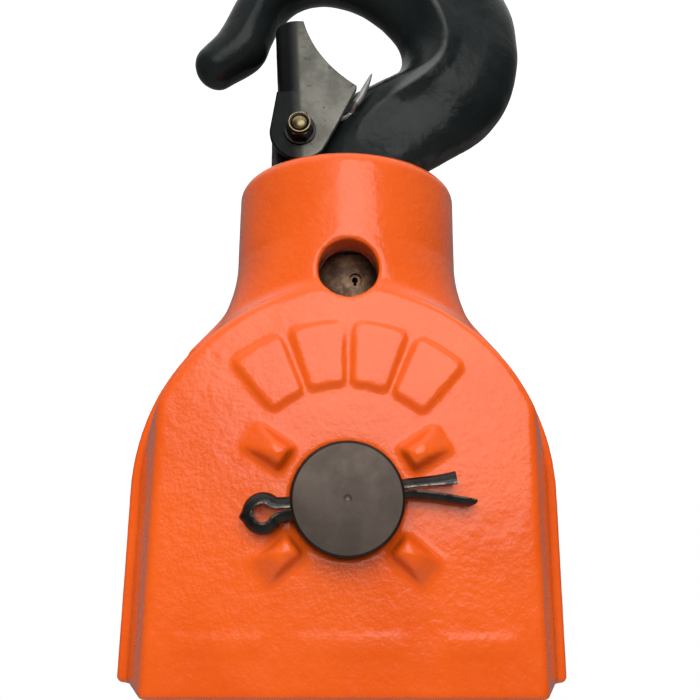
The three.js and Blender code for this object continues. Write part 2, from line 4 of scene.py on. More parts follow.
import bpy
import numpy as np
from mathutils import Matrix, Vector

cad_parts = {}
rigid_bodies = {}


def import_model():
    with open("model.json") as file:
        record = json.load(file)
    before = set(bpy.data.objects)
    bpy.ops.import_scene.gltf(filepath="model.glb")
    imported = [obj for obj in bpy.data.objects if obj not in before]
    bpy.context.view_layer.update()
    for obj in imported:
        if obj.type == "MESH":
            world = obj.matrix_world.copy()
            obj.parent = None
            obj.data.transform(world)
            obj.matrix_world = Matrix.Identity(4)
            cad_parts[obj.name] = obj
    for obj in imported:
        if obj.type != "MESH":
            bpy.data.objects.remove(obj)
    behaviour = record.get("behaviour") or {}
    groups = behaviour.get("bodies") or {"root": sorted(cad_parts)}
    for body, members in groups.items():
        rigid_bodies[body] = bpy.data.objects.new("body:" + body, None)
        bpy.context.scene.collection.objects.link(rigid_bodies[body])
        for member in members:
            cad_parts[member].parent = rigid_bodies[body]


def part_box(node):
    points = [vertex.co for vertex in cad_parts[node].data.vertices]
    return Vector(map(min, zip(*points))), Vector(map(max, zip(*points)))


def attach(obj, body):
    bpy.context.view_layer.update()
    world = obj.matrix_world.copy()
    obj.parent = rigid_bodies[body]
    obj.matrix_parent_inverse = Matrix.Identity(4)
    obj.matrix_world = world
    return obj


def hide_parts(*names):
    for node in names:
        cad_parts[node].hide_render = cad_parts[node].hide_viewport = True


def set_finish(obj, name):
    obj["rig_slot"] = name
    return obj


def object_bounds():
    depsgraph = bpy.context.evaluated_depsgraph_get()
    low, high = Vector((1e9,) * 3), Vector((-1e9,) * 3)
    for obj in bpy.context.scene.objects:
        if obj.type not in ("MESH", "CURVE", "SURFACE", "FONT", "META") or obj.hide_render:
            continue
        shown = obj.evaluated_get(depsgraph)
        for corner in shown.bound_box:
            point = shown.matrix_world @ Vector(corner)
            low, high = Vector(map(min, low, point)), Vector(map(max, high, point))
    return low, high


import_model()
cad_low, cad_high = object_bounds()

import openvdb
from mathutils import Matrix, Vector

# Sizes are in millimetres in the CAD frame: +Z up the shank, -Y the front, origin at the wheel's centre.
MM = 0.001
FAR = 50.0  # a distance that stands for "no solid near"


def box_mm(node):
    low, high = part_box(node)
    return [c / MM for c in low], [c / MM for c in high]


FRAME_LOW, FRAME_HIGH = box_mm("hook_frame")
AXLE_LOW, AXLE_HIGH = box_mm("axle")
WHEEL_HIGH = box_mm("chain_wheel")[1]

BACK_Y = FRAME_HIGH[1]
FRONT_Y = -BACK_Y
RIB_HALF_WIDTH = FRAME_HIGH[0]
ENTRY_Z = FRAME_HIGH[2]
NECK_END_Z = FRAME_LOW[2]
AXLE_RADIUS = 12.5
SPLIT_PIN_Y, SPLIT_PIN_TURN = -34.0, math.radians(9.8)
SHANK_RADIUS, SHANK_BORE = 12.0, 12.3
PIVOT_X, PIVOT_Z = 13.5, -101.8
PIVOT_BORE = 2.3

# ---------------------------------------------------------------- pieces


def piece(name, points, faces, body, slot, nodes=(), smooth_angle=40):
    """A mesh from millimetre points that rides on a body and stands for CAD nodes."""
    mesh = bpy.data.meshes.new(name)
    coords = np.asarray(points, float) * MM
    mesh.from_pydata(coords.tolist(), [], faces)
    return settle(name, mesh, body, slot, nodes, smooth_angle)


def settle(name, mesh, body, slot, nodes=(), smooth_angle=40):
    """The mesh as a smooth-shaded object of the scene, on its body and with its slot."""
    mesh.validate()
    obj = bpy.data.objects.new(name, mesh)
    bpy.context.scene.collection.objects.link(obj)
    mesh.polygons.foreach_set("use_smooth", [True] * len(mesh.polygons))
    if smooth_angle < 180:
        mesh.set_sharp_from_angle(angle=math.radians(smooth_angle))
    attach(obj, body)
    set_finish(obj, slot)
    if nodes:
        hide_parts(*nodes)
    return obj


def apply_modifiers(obj):
    bpy.context.view_layer.update()
    graph = bpy.context.evaluated_depsgraph_get()
    made = bpy.data.meshes.new_from_object(obj.evaluated_get(graph))
    old = obj.data
    obj.modifiers.clear()
    obj.data = made
    bpy.data.meshes.remove(old)


def cut(obj, cutters, smooth_angle=40):
    """Takes the cutters, closed meshes as (points, faces) in millimetres, out of a piece."""
    tools = []
    for points, faces in cutters:
        mesh = bpy.data.meshes.new("cutter")
        mesh.from_pydata((np.asarray(points, float) * MM).tolist(), [], faces)
        tool = bpy.data.objects.new("cutter", mesh)
        bpy.context.scene.collection.objects.link(tool)
        modifier = obj.modifiers.new("cut", "BOOLEAN")
        modifier.operation = "DIFFERENCE"
        modifier.solver = "EXACT"
        modifier.object = tool
        tools.append(tool)
    apply_modifiers(obj)
    for tool in tools:
        bpy.data.objects.remove(tool)
    obj.data.polygons.foreach_set("use_smooth", [True] * len(obj.data.polygons))
    obj.data.set_sharp_from_angle(angle=math.radians(smooth_angle))


def rounded(profile, radius, steps=4):
    """The open profile with its inner corners turned into arcs."""
    made = [np.array(profile[0], float)]
    for before, at, after in zip(profile, profile[1:], profile[2:]):
        before, at, after = (np.array(p, float) for p in (before, at, after))
        a, b = before - at, after - at
        la, lb = np.linalg.norm(a), np.linalg.norm(b)
        angle = math.acos(max(-1, min(1, float(a @ b) / (la * lb))))
        reach = min(radius / max(math.tan(angle / 2), 1e-6), 0.45 * la, 0.45 * lb)
        start, end = at + a / la * reach, at + b / lb * reach
        for i in range(steps + 1):
            t = i / steps
            made.append((1 - t) ** 2 * start + 2 * t * (1 - t) * at + t * t * end)
    made.append(np.array(profile[-1], float))
    return made


def lathe(profile, axis="Z", segments=96):
    """Points and faces of a turned solid; profile is [radius, height] pairs."""
    points, faces, rows = [], [], []
    for r, h in profile:
        count = 1 if r < 1e-6 else segments
        rows.append((len(points), count))
        for k in range(count):
            a = 2 * math.pi * k / segments
            u, v = r * math.cos(a), r * math.sin(a)
            points.append((u, v, h) if axis == "Z" else (v, h, u))
    for (low, low_count), (high, high_count) in zip(rows, rows[1:]):
        if low_count == 1 and high_count == 1:
            continue
        for k in range(segments):
            n = (k + 1) % segments
            if low_count == 1:
                faces.append((low, high + n, high + k))
            elif high_count == 1:
                faces.append((low + k, low + n, high))
            else:
                faces.append((low + k, low + n, high + n, high + k))
    return points, faces


def rod(radius, half_length, axis="Z", segments=40):
    """A closed cylinder about an axis through the origin, to drill with."""
    profile = [(0, -half_length), (radius, -half_length), (radius, half_length), (0, half_length)]
    return lathe(profile, axis, segments)


def outward(points, faces):
    """The faces turned so that they enclose a positive volume."""
    p = np.asarray(points, float)
    total = 0.0
    for f in faces:
        for i in range(1, len(f) - 1):
            total += float(np.dot(p[f[0]], np.cross(p[f[i]], p[f[i + 1]])))
    return faces if total > 0 else [tuple(reversed(f)) for f in faces]


def moved(points, matrix):
    return [tuple(matrix @ Vector(p)) for p in points]


def shifted(points, x, y, z):
    return [(px + x, py + y, pz + z) for px, py, pz in points]


def drill(obj, radius, half_length, axis, place):
    """Takes a round hole out of a piece."""
    points, faces = rod(radius, half_length, axis)
    points = moved(points, place)
    cut(obj, [(points, outward(points, faces))], 35)


def turned(name, profile, body, slot, nodes=(), axis="Z", segments=96, place=None, radius=0.3):
    """A lathed piece whose profile has its corners rounded to the radius."""
    outline = profile if radius == 0 else rounded(profile, radius)
    points, faces = lathe(outline, axis, segments)
    if place is not None:
        points = moved(points, place)
    return piece(name, points, outward(points, faces), body, slot, nodes, 50)


def ring(inner, outer, low, high):
    """The profile of a plain ring, begun and ended halfway along its lower face."""
    middle = (inner + outer) / 2
    return [(middle, low), (outer, low), (outer, high), (inner, high), (inner, low), (middle - 0.01, low)]


def tube_faces(rings, count):
    """The faces of a skin over rings of count points each, capped at both ends."""
    faces = []
    for i in range(rings - 1):
        a, b = i * count, (i + 1) * count
        for k in range(count):
            n = (k + 1) % count
            faces.append((a + k, a + n, b + n, b + k))
    faces.append(tuple(reversed(range(count))))
    faces.append(tuple(range((rings - 1) * count, rings * count)))
    return faces


def sweep(path, ups, section, scale):
    """A closed skin of a section carried along a path.

    ups gives each ring's second axis, scale the section's size on both axes.
    """
    points = []
    path = [Vector(p) for p in path]
    for i, p in enumerate(path):
        ahead = path[min(i + 1, len(path) - 1)] - path[max(i - 1, 0)]
        tangent = ahead.normalized()
        up = Vector(ups[i])
        side = up.cross(tangent).normalized()
        up = tangent.cross(side).normalized()
        wide, high = scale[i]
        for u, v in section:
            points.append(tuple(p + side * u * wide + up * v * high))
    return points, tube_faces(len(path), len(section))


def spline(controls, steps):
    """Points on a smooth curve (Catmull-Rom) through the controls."""
    c = [np.array(p, float) for p in controls]
    c = [2 * c[0] - c[1]] + c + [2 * c[-1] - c[-2]]
    made = []
    for a, b, d, e in zip(c, c[1:], c[2:], c[3:]):
        for i in range(steps):
            t = i / steps
            square = (2 * a - 5 * b + 4 * d - e) * t**2
            cube = (3 * b - a - 3 * d + e) * t**3
            made.append(0.5 * (2 * b + (d - a) * t + square + cube))
    made.append(c[-2])
    return made


# ---------------------------------------------------------------- fields


def rmax(a, b, r):
    """The common part of two solids with its outer corner rounded to radius r."""
    a, b = a + r, b + r
    return np.minimum(np.maximum(a, b), 0) + np.hypot(np.maximum(a, 0), np.maximum(b, 0)) - r


def rmin(a, b, r):
    """The union of two solids with the inner corner filled to radius r."""
    return -rmax(-a, -b, r)


class Field:
    """A grid of points in millimetres on which solids are distance fields."""

    def __init__(self, low, high, step):
        self.low, self.step = np.array(low, float), step
        self.count = [int(math.ceil((b - a) / step)) + 1 for a, b in zip(low, high)]
        axes = [(low[i] + step * np.arange(self.count[i])).astype(np.float32) for i in range(3)]
        self.x = axes[0][:, None, None]
        self.y = axes[1][None, :, None]
        self.z = axes[2][None, None, :]

    def from_mesh(self, points, faces, reach=8.0):
        """The distance field of a closed mesh, to a few millimetres on both sides."""
        tris = [(f[0], f[i], f[i + 1]) for f in faces for i in range(1, len(f) - 1)]
        index = (np.asarray(points, float) - self.low) / self.step
        grid = openvdb.FloatGrid.createLevelSetFromPolygons(
            index.astype(np.float32), triangles=np.array(tris, np.uint32), halfWidth=reach / self.step
        )
        values = np.zeros(self.count, np.float32)
        grid.copyToArray(values)
        return values * self.step

    def skin(self, values):
        """Points and faces of the surface where the field is zero."""
        band = 3 * self.step
        grid = openvdb.FloatGrid(band)
        full = np.broadcast_to(values, self.count)
        grid.copyFromArray(np.clip(full, -band, band).astype(np.float32))
        grid.gridClass = openvdb.GridClass.LEVEL_SET
        points, _, quads = grid.convertToPolygons()
        points = points * self.step + self.low
        a, b, c, d = (points[quads[:, i]] for i in range(4))
        volume = sum(np.einsum("ij,ij->i", a, np.cross(p, q)).sum() for p, q in ((b, c), (c, d)))
        if volume < 0:
            quads = quads[:, ::-1]
        return points, quads


def sampled(f, values, points):
    """The grid's values at the given points, linear between grid points."""
    at = np.clip((points - f.low) / f.step, 0, np.array(f.count) - 1.001)
    base = at.astype(int)
    share = at - base
    total = np.zeros(len(points))
    for corner in range(8):
        step = np.array([corner & 1, corner >> 1 & 1, corner >> 2])
        i, j, k = (base + step).T
        total += np.prod(np.where(step, share, 1 - share), axis=1) * values[i, j, k]
    return total


def ridges(f, values, reach=2.8):
    """How sharply the solid is crowned at each grid point, in 1/mm, over a reach in mm; 0 where flat."""
    apart = max(1, round(reach / f.step))
    total = np.zeros(values.shape, np.float32)
    for axis in range(3):
        total += np.roll(values, apart, axis) + np.roll(values, -apart, axis) - 2 * values
    return total / (apart * f.step) ** 2


def field_piece(name, points, quads, body, slot, nodes, grain=(), attribute=None):
    """A piece from a field's skin.

    Grain is (size, height) pairs of cast or forged unevenness; attribute is a name and one amount per point.
    """
    mesh = bpy.data.meshes.new(name)
    mesh.vertices.add(len(points))
    mesh.vertices.foreach_set("co", (points * MM).astype(np.float32).ravel())
    mesh.loops.add(quads.size)
    mesh.loops.foreach_set("vertex_index", quads.astype(np.int32).ravel())
    mesh.polygons.add(len(quads))
    mesh.polygons.foreach_set("loop_start", np.arange(0, quads.size, 4, dtype=np.int32))
    mesh.update(calc_edges=True)
    if attribute is not None:
        label, amounts = attribute
        layer = mesh.attributes.new(label, "FLOAT", "POINT")
        layer.data.foreach_set("value", amounts.astype(np.float32))
    obj = settle(name, mesh, body, slot, nodes, 180)
    smooth = obj.modifiers.new("smooth", "SMOOTH")
    smooth.factor, smooth.iterations = 0.5, 2
    for i, (size, height) in enumerate(grain):
        texture = bpy.data.textures.new(name + "_grain_" + str(i), "CLOUDS")
        texture.noise_scale = size * MM
        texture.noise_depth = 2
        displace = obj.modifiers.new("grain", "DISPLACE")
        displace.texture = texture
        displace.texture_coords = "LOCAL"
        displace.strength = height * MM
        displace.mid_level = 0.5
    apply_modifiers(obj)
    obj.data.polygons.foreach_set("use_smooth", [True] * len(obj.data.polygons))
    return obj


# ---------------------------------------------------------------- frame casting

CASTING_GRID = ((-55.5, -35.2, -89.0), (55.5, 31.5, 44.2))

# The drafted slab: half widths at its face and at the rib, and the arch round the axle.
FACE_HALF_WIDTH, FACE_ARCH_RADIUS = 43.9, 47.9
STEP_HALF_WIDTH = 51.3
RIB_HALF_DEPTH = 11.85
ARCH_Z = -3.0
DRAFT_COSINE = 0.93
ENTRY_EDGE, FACE_EDGE, RIB_ENTRY_EDGE, RIB_EDGE = 1.3, 1.6, 1.5, 0.9

# The neck, the hollow curve that widens it, and the part of the flare that is tucked into the arch.
NECK_RADIUS, NECK_EDGE = 30.5, 3.3
FLARE_RADIUS, FLARE_START_Z, FLARE_END_Z = 40.0, -64.0, -38.3
FLARE_LAP, FLARE_THINNING, FLARE_SQUARENESS, FLARE_SLOPE = 0.5, 0.9, 0.6, 0.25
TUCK_LENGTH, TUCK_WIDTH_SLOPE, TUCK_DEPTH_SLOPE = 8.5, 1.25, 0.3
ARCH_FILLET = 2.6

# What is hollow: the wheel's slot, the channel and the well under it, the shank's bore and the access hole.
SLOT_HALF_WIDTH, SLOT_RADIUS, SLOT_CORNER = 15.5, 46.8, 3.0
WELL_RADIUS, WELL_TOP_Z, SEAT_Z, WELL_FILLET = 21.5, -20.0, -74.5, 0.5
CHANNEL_END_Z, CHANNEL_CORNER = -30.0, 2.0
BORE_RADIUS, BORE_TOP_Z = 13.0, -60.0
AXLE_CLEARANCE = 0.3
ACCESS_RADIUS, ACCESS_Z, ACCESS_END_Y = 7.4, -55.5, -10.0
HOLE_EDGE = 0.9

# Stop lugs as distance from the axle and degrees; each narrows and leans inward towards its top.
LUGS = ((22.0, 33), (22.0, 147), (20.6, 220), (20.6, 320))
LUG_HALF_LENGTH, LUG_HALF_WIDTH, LUG_HEIGHT, LUG_ROOT = 6.2, 4.0, 4.0, 1.0
LUG_LEAN, LUG_LENGTH_TAPER, LUG_WIDTH_TAPER, LUG_SIDE_COSINE = 2.9, 4.2, 2.3, 0.75
LUG_CORNER, LUG_TOP_EDGE = 0.9, 1.2

# Blank pads on a circle round the axle, and blank bars near the chain's entry as their ends in x.
PAD_DEGREES = (58, 79.5, 101, 122.5)
PAD_CIRCLE, PAD_HALF_WIDTH, PAD_HALF_TURN, PAD_HEIGHT = 34.0, 7.5, 0.155, 0.8
PAD_CORNER, PAD_EDGE = 1.6, 0.6
BARS = ((-38.5, -20.5), (-13.5, 11.0), (17.5, 38.5))
BAR_Z, BAR_HALF_WIDTH, BAR_HEIGHT, BAR_CORNER = 31.0, 2.9, 0.16, 0.9
BAR_BEVEL_SLOPE, BAR_BEVEL_WIDTH, BAR_SKIRT = 0.10, 1.6, 1.0
RAISED_REACH, RAISED_FILLET = 6.0, 0.8

# Under this much metal as cast the paint begins to fade to a dark raw-iron colour that is partly painted
# shade in the hollows, and this much deeper it is gone.
RAW_AND_SHADE_DEPTH, RAW_AND_SHADE_FADE = 2.0, 5.0


def arch_field(f):
    """The drafted slab with its arch, and the wider rib round its middle."""
    depth = np.abs(f.y)
    share = np.clip((depth - RIB_HALF_DEPTH) / (BACK_Y - RIB_HALF_DEPTH), 0, 1)
    half = STEP_HALF_WIDTH + (FACE_HALF_WIDTH - STEP_HALF_WIDTH) * share
    arch = STEP_HALF_WIDTH + (FACE_ARCH_RADIUS - STEP_HALF_WIDTH) * share
    out = np.hypot(f.x, np.minimum(f.z - ARCH_Z, 0))
    slab = np.maximum(np.abs(f.x) - half, out - arch) * DRAFT_COSINE
    slab = rmax(slab, f.z - ENTRY_Z, ENTRY_EDGE)
    slab = rmax(slab, depth - BACK_Y, FACE_EDGE)
    rib = rmax(out - RIB_HALF_WIDTH, f.z - ENTRY_Z, RIB_ENTRY_EDGE)
    rib = rmax(rib, depth - RIB_HALF_DEPTH, RIB_EDGE)
    return rmin(slab, rib, RIB_EDGE)


def neck_field(f):
    """The round neck and the hollow curve that leads it out into the arch."""
    neck = rmax(np.hypot(f.x, f.y) - NECK_RADIUS, NECK_END_Z - f.z, NECK_EDGE)
    neck = np.maximum(neck, f.z - FLARE_START_Z - FLARE_LAP)
    z = np.clip(f.z, FLARE_START_Z, FLARE_END_Z)
    share = (z - FLARE_START_Z) / (FLARE_END_Z - FLARE_START_Z)
    past = np.clip(f.z - FLARE_END_Z, 0, TUCK_LENGTH + FLARE_LAP)
    curve = FLARE_RADIUS - np.sqrt(FLARE_RADIUS**2 - (z - FLARE_START_Z) ** 2)
    half = NECK_RADIUS + curve - TUCK_WIDTH_SLOPE * past
    depth = NECK_RADIUS - FLARE_THINNING * share * share * (3 - 2 * share) - TUCK_DEPTH_SLOPE * past
    power = 2 + FLARE_SQUARENESS * share
    reach = ((np.abs(f.x) / half) ** power + (np.abs(f.y) / depth) ** power) ** (1 / power)
    flare = (reach - 1) * depth * (1 - FLARE_SLOPE * share)
    flare = np.maximum(np.maximum(flare, FLARE_START_Z - f.z), f.z - FLARE_END_Z - TUCK_LENGTH)
    return np.minimum(neck, flare)


def hollow_field(f):
    """All that is open inside the casting."""
    slot_out = np.hypot(f.x, np.minimum(f.z, 0)) - SLOT_RADIUS
    slot = rmax(slot_out, np.abs(f.y) - SLOT_HALF_WIDTH, SLOT_CORNER)
    channel = rmax(np.abs(f.x) - WELL_RADIUS, np.abs(f.y) - WELL_RADIUS, CHANNEL_CORNER)
    channel = np.maximum(channel, CHANNEL_END_Z - f.z)
    across = np.hypot(f.x, f.y)
    well = np.maximum(np.maximum(across - WELL_RADIUS, SEAT_Z - f.z), f.z - WELL_TOP_Z)
    bore = np.maximum(across - BORE_RADIUS, f.z - BORE_TOP_Z)
    axle_hole = np.hypot(f.x, f.z) - (AXLE_RADIUS + AXLE_CLEARANCE)
    access = np.maximum(np.hypot(f.x, f.z - ACCESS_Z) - ACCESS_RADIUS, f.y - ACCESS_END_Y)
    made = rmin(np.minimum(slot, channel), well, WELL_FILLET)
    return np.minimum(np.minimum(made, bore), np.minimum(axle_hole, access))


def lug_field(f, radius, degrees):
    """A stop lug: a soft truncated pyramid whose small top lies nearer to the axle."""
    angle = -math.radians(degrees)
    along = f.x * math.cos(angle) + f.z * math.sin(angle)
    across = f.z * math.cos(angle) - f.x * math.sin(angle)
    height = FRONT_Y - f.y
    t = np.clip((height + LUG_ROOT) / (LUG_HEIGHT + LUG_ROOT), 0, 1.2)
    ends = np.abs(along - radius + LUG_LEAN * t) - (LUG_HALF_LENGTH - LUG_LENGTH_TAPER * t)
    sides = np.abs(across) - (LUG_HALF_WIDTH - LUG_WIDTH_TAPER * t)
    return rmax(rmax(ends, sides, LUG_CORNER) * LUG_SIDE_COSINE, height - LUG_HEIGHT, LUG_TOP_EDGE)


def pad_field(f, degrees):
    """A blank raised pad, a sector of a ring round the axle."""
    angle = -math.radians(degrees)
    radial = np.abs(np.hypot(f.x, f.z) - PAD_CIRCLE) - PAD_HALF_WIDTH
    ends = (np.abs(np.arctan2(f.z, f.x) - angle) - PAD_HALF_TURN) * PAD_CIRCLE
    return rmax(rmax(radial, ends, PAD_CORNER), FRONT_Y - PAD_HEIGHT - f.y, PAD_EDGE)


def bar_field(f, low, high):
    """A blank bar so shallow that its bevelled edges hardly show."""
    ends = np.abs(f.x - (low + high) / 2) - (high - low) / 2
    sides = rmax(ends, np.abs(f.z - BAR_Z) - BAR_HALF_WIDTH, BAR_CORNER)
    bevel = BAR_BEVEL_SLOPE * np.clip(sides + BAR_BEVEL_WIDTH, 0, 5)
    return np.maximum(FRONT_Y - BAR_HEIGHT + bevel - f.y, sides - BAR_SKIRT)


def frame_casting():
    """The outside with what is raised on it, less what is hollow."""
    f = Field(*CASTING_GRID, 0.6)
    solid = rmin(arch_field(f), neck_field(f), ARCH_FILLET)
    front = f.y < FRONT_Y + RAISED_REACH
    raised = np.full(f.count, FAR, np.float32)
    for radius, degrees in LUGS:
        raised = np.minimum(raised, lug_field(f, radius, degrees))
    for degrees in PAD_DEGREES:
        raised = np.minimum(raised, pad_field(f, degrees))
    solid = np.where(front, rmin(solid, raised, RAISED_FILLET), solid)
    for low, high in BARS:
        solid = np.minimum(solid, bar_field(f, low, high) + np.where(front, 0, FAR))
    whole = rmax(solid, -hollow_field(f), HOLE_EDGE)
    points, quads = f.skin(whole)
    # Deep in the hollows the paint fades to dark raw iron; this darkening is partly painted shade.
    inner = np.clip((-sampled(f, solid, points) - RAW_AND_SHADE_DEPTH) / RAW_AND_SHADE_FADE, 0, 1)
    field_piece(
        "frame_casting", points, quads, "frame", "orange_enamel", ["hook_frame"],
        grain=((7.0, 0.12), (1.8, 0.05)), attribute=("inner", inner),
    )


# ---------------------------------------------------------------- axle, split pin and wheel


def axle():
    """The pin, a centre punch in its front end, its head behind and the split pin's hole."""
    front, back, head = AXLE_LOW[1], BACK_Y + 0.3, AXLE_HIGH[1]
    chamfer, head_radius, head_edge = 0.65, 17.5, 1.2
    punch_radius, punch_depth, hole_radius = 0.95, 0.75, 2.6
    profile = [
        (0, front + punch_depth), (0.35, front + 0.35), (punch_radius, front + 0.02),
        (AXLE_RADIUS - chamfer, front), (AXLE_RADIUS, front + chamfer), (AXLE_RADIUS, back),
        (head_radius, back), (head_radius, head - head_edge), (head_radius - head_edge, head), (0, head),
    ]
    made = turned("axle_pin", profile, "frame", "axle_steel", ["axle"], axis="Y", segments=128, radius=0.25)
    turn = Matrix.Rotation(-SPLIT_PIN_TURN, 4, "Y") @ Matrix.Rotation(math.pi / 2, 4, "Y")
    drill(made, hole_radius, 30, "Z", Matrix.Translation((0, SPLIT_PIN_Y, 0)) @ turn)


def split_pin():
    """Half-round wire bent into an eye, its flat sides together, its legs opened."""
    wire_radius, flat_edge, slit = 2.25, 0.12, 0.12
    eye_x, eye_radius, eye_open = 18.8, 1.95, 0.58
    neck_x, straight_x, bend_x, bend_power = 16.1, -12, -13.5, 1.2
    lower_x, lower_bend, upper_x, upper_bend = -28.3, 4.6, -24.5, -0.9
    neck_swell, eye_thick, crest_height, crest_turn = 0.18, 1.2, 0.30, 0.17
    path, scale = [], []

    def add(x, z, thick=1.0):
        path.append(np.array((x, z)))
        scale.append((thick, 1.0))

    def add_neck(first, last, z):
        for x in np.linspace(first, last, 10):
            add(x, z, 1.0 + neck_swell * max(0, x / neck_x))

    for t in np.linspace(1, 0, 14):
        thick = 0.45 if t == 1 else 1.0 - 0.14 * t
        add(bend_x + (lower_x - bend_x) * t, slit + lower_bend * t**bend_power, thick)
    add_neck(straight_x, neck_x, slit)
    for angle in np.linspace(math.pi - eye_open, eye_open - math.pi, 49):
        crest = crest_height * math.exp(-((angle / crest_turn) ** 2))
        add(eye_x + eye_radius * math.cos(angle), eye_radius * math.sin(angle), eye_thick + crest)
    add_neck(neck_x, straight_x, -slit)
    for t in np.linspace(0, 1, 14):
        add(bend_x + (upper_x - bend_x) * t, -slit - upper_bend * t**bend_power, 1.0 + 0.35 * t**3)
    smooth = [path[0]]
    for a, b, c in zip(path, path[1:], path[2:]):
        smooth.append(0.25 * a + 0.5 * b + 0.25 * c)
    smooth.append(path[-1])
    section = [(0.0, flat_edge - wire_radius), (0.0, wire_radius - flat_edge)]
    for a in np.linspace(math.pi / 2 - 0.06, 0.06 - math.pi / 2, 25):
        section.append((-wire_radius * math.cos(a), wire_radius * math.sin(a)))
    points, faces = sweep([(x, 0, z) for x, z in smooth], [(0, 1, 0)] * len(smooth), section, scale)
    points = moved(points, Matrix.Translation((0, SPLIT_PIN_Y, 0)) @ Matrix.Rotation(-SPLIT_PIN_TURN, 4, "Y"))
    piece("split_pin", points, outward(points, faces), "frame", "black_oxide", ["axle_split_pin"], 38)


def chain_wheel():
    """The pocketed wheel: each flat link lies in a pocket, each upright one in the groove."""
    pocket_count, pocket_half_length, pocket_radius, pocket_floor = 5, 5.6, 12.4, 28.5
    groove_floor, groove_half_width, mouth_radius, mouth_slope = 21.5, 4.6, 30, 0.25
    bore_radius = 16.3
    f = Field((-41.5, -15.6, -41.5), (41.5, 15.6, 41.5), 0.7)
    radius = np.hypot(f.x, f.z)
    body = rmax(radius - WHEEL_HIGH[0], np.abs(f.y) - WHEEL_HIGH[1], 1.4)
    groove = rmax(groove_floor - radius, np.abs(f.y) - groove_half_width, 2.0)
    mouth_side = np.abs(f.y) - groove_half_width - mouth_slope * (radius - mouth_radius)
    groove = rmin(groove, rmax(mouth_radius - radius, mouth_side, 1.0), 1.0)
    pockets = np.full(f.count, FAR, np.float32)
    for i in range(pocket_count):
        angle = 2 * math.pi * (i + 0.5) / pocket_count
        out = f.x * math.sin(angle) + f.z * math.cos(angle)
        along = f.x * math.cos(angle) - f.z * math.sin(angle)
        plan = np.hypot(np.maximum(np.abs(along) - pocket_half_length, 0), f.y) - pocket_radius
        pockets = np.minimum(pockets, rmax(plan, pocket_floor - out, 1.5))
    whole = rmax(body, -np.minimum(groove, pockets), 1.0)
    whole = rmax(whole, bore_radius - radius, 0.6)
    points, quads = f.skin(whole)
    field_piece("pocket_wheel", points, quads, "wheel", "wheel_steel", ["chain_wheel"], grain=((4.0, 0.1),))


def bush_and_spacers():
    bore, bush_radius, bush_half, spacer_radius, near, far = 12.8, 16.0, 14.4, 19.0, 14.8, 21.2
    profile = ring(bore, bush_radius, -bush_half, bush_half)
    turned("bush", profile, "wheel", "bronze", ["wheel_bush"], axis="Y")
    for side, place in ((-1, "front"), (1, "rear")):
        low, high = sorted((side * near, side * far))
        profile = ring(bore, spacer_radius, low, high)
        turned("spacer_" + place, profile, "frame", "bright_steel", ["wheel_spacer_" + place], axis="Y")


# ---------------------------------------------------------------- swivel


BALL_CIRCLE, BALL_RADIUS, BALL_COUNT = 16.6, 2.4, 12


def swivel_nut():
    """The shank's nut and the slotted spring pin that locks it, in its hole."""
    low, high = box_mm("hook_nut")
    profile = ring(SHANK_BORE, 20.0, low[2], high[2])
    nut = turned("swivel_nut", profile, "hook", "brown_steel", ["hook_nut"], segments=128, radius=1.0)
    hole_radius, pin_radius, pin_bore, half_slot = 1.70, 1.62, 0.85, 0.35
    pin_z, pin_turn, pin_end, end_chamfer, end_scale = -55.8, math.radians(5.7), 19.25, 0.25, 0.93
    turn = Matrix.Translation((0, 0, pin_z)) @ Matrix.Rotation(-pin_turn, 4, "Z")
    drill(nut, hole_radius, 30, "Y", turn)
    section = []
    for radius, first, last in ((pin_radius, half_slot, -half_slot), (pin_bore, -half_slot, half_slot)):
        for a in np.linspace(first % (2 * math.pi), last % (2 * math.pi), 40):
            section.append((radius * math.cos(a), radius * math.sin(a)))
    stations = [-pin_end, end_chamfer - pin_end, pin_end - end_chamfer, pin_end]
    sizes = [(size, size) for size in (end_scale, 1, 1, end_scale)]
    points, faces = sweep([(0, y, 0) for y in stations], [(1, 0, 0)] * 4, section, sizes)
    points = moved(points, turn)
    piece("spring_pin", points, outward(points, faces), "hook", "brown_steel", ["nut_spring_pin"], 30)


def races():
    """The two washers that the balls run between, with a shallow track in each."""
    outer, track_radius, track_depth = 21, 1.5, 0.5
    # The seam is where a profile begins and ends, on the face away from the balls.
    for side, body, bore, seam in (("lower", "frame", 13.1, 17.0), ("upper", "hook", SHANK_BORE, 17.1)):
        node = "bearing_" + side + "_race"
        low, high = (c[2] for c in box_mm(node))
        inward = 1 if side == "lower" else -1
        ball_side, far_side = (high, low) if side == "lower" else (low, high)
        track = []
        for t in np.linspace(0, math.pi, 9):
            z = ball_side - inward * track_depth * math.sin(t)
            track.append((BALL_CIRCLE + track_radius * math.cos(t), z))
        profile = [(seam, far_side), (outer, far_side), (outer, ball_side)] + track
        profile += [(bore, ball_side), (bore, far_side), (seam - 0.1, far_side)]
        turned("race_" + side, profile, body, "bright_steel", [node], radius=0.25)


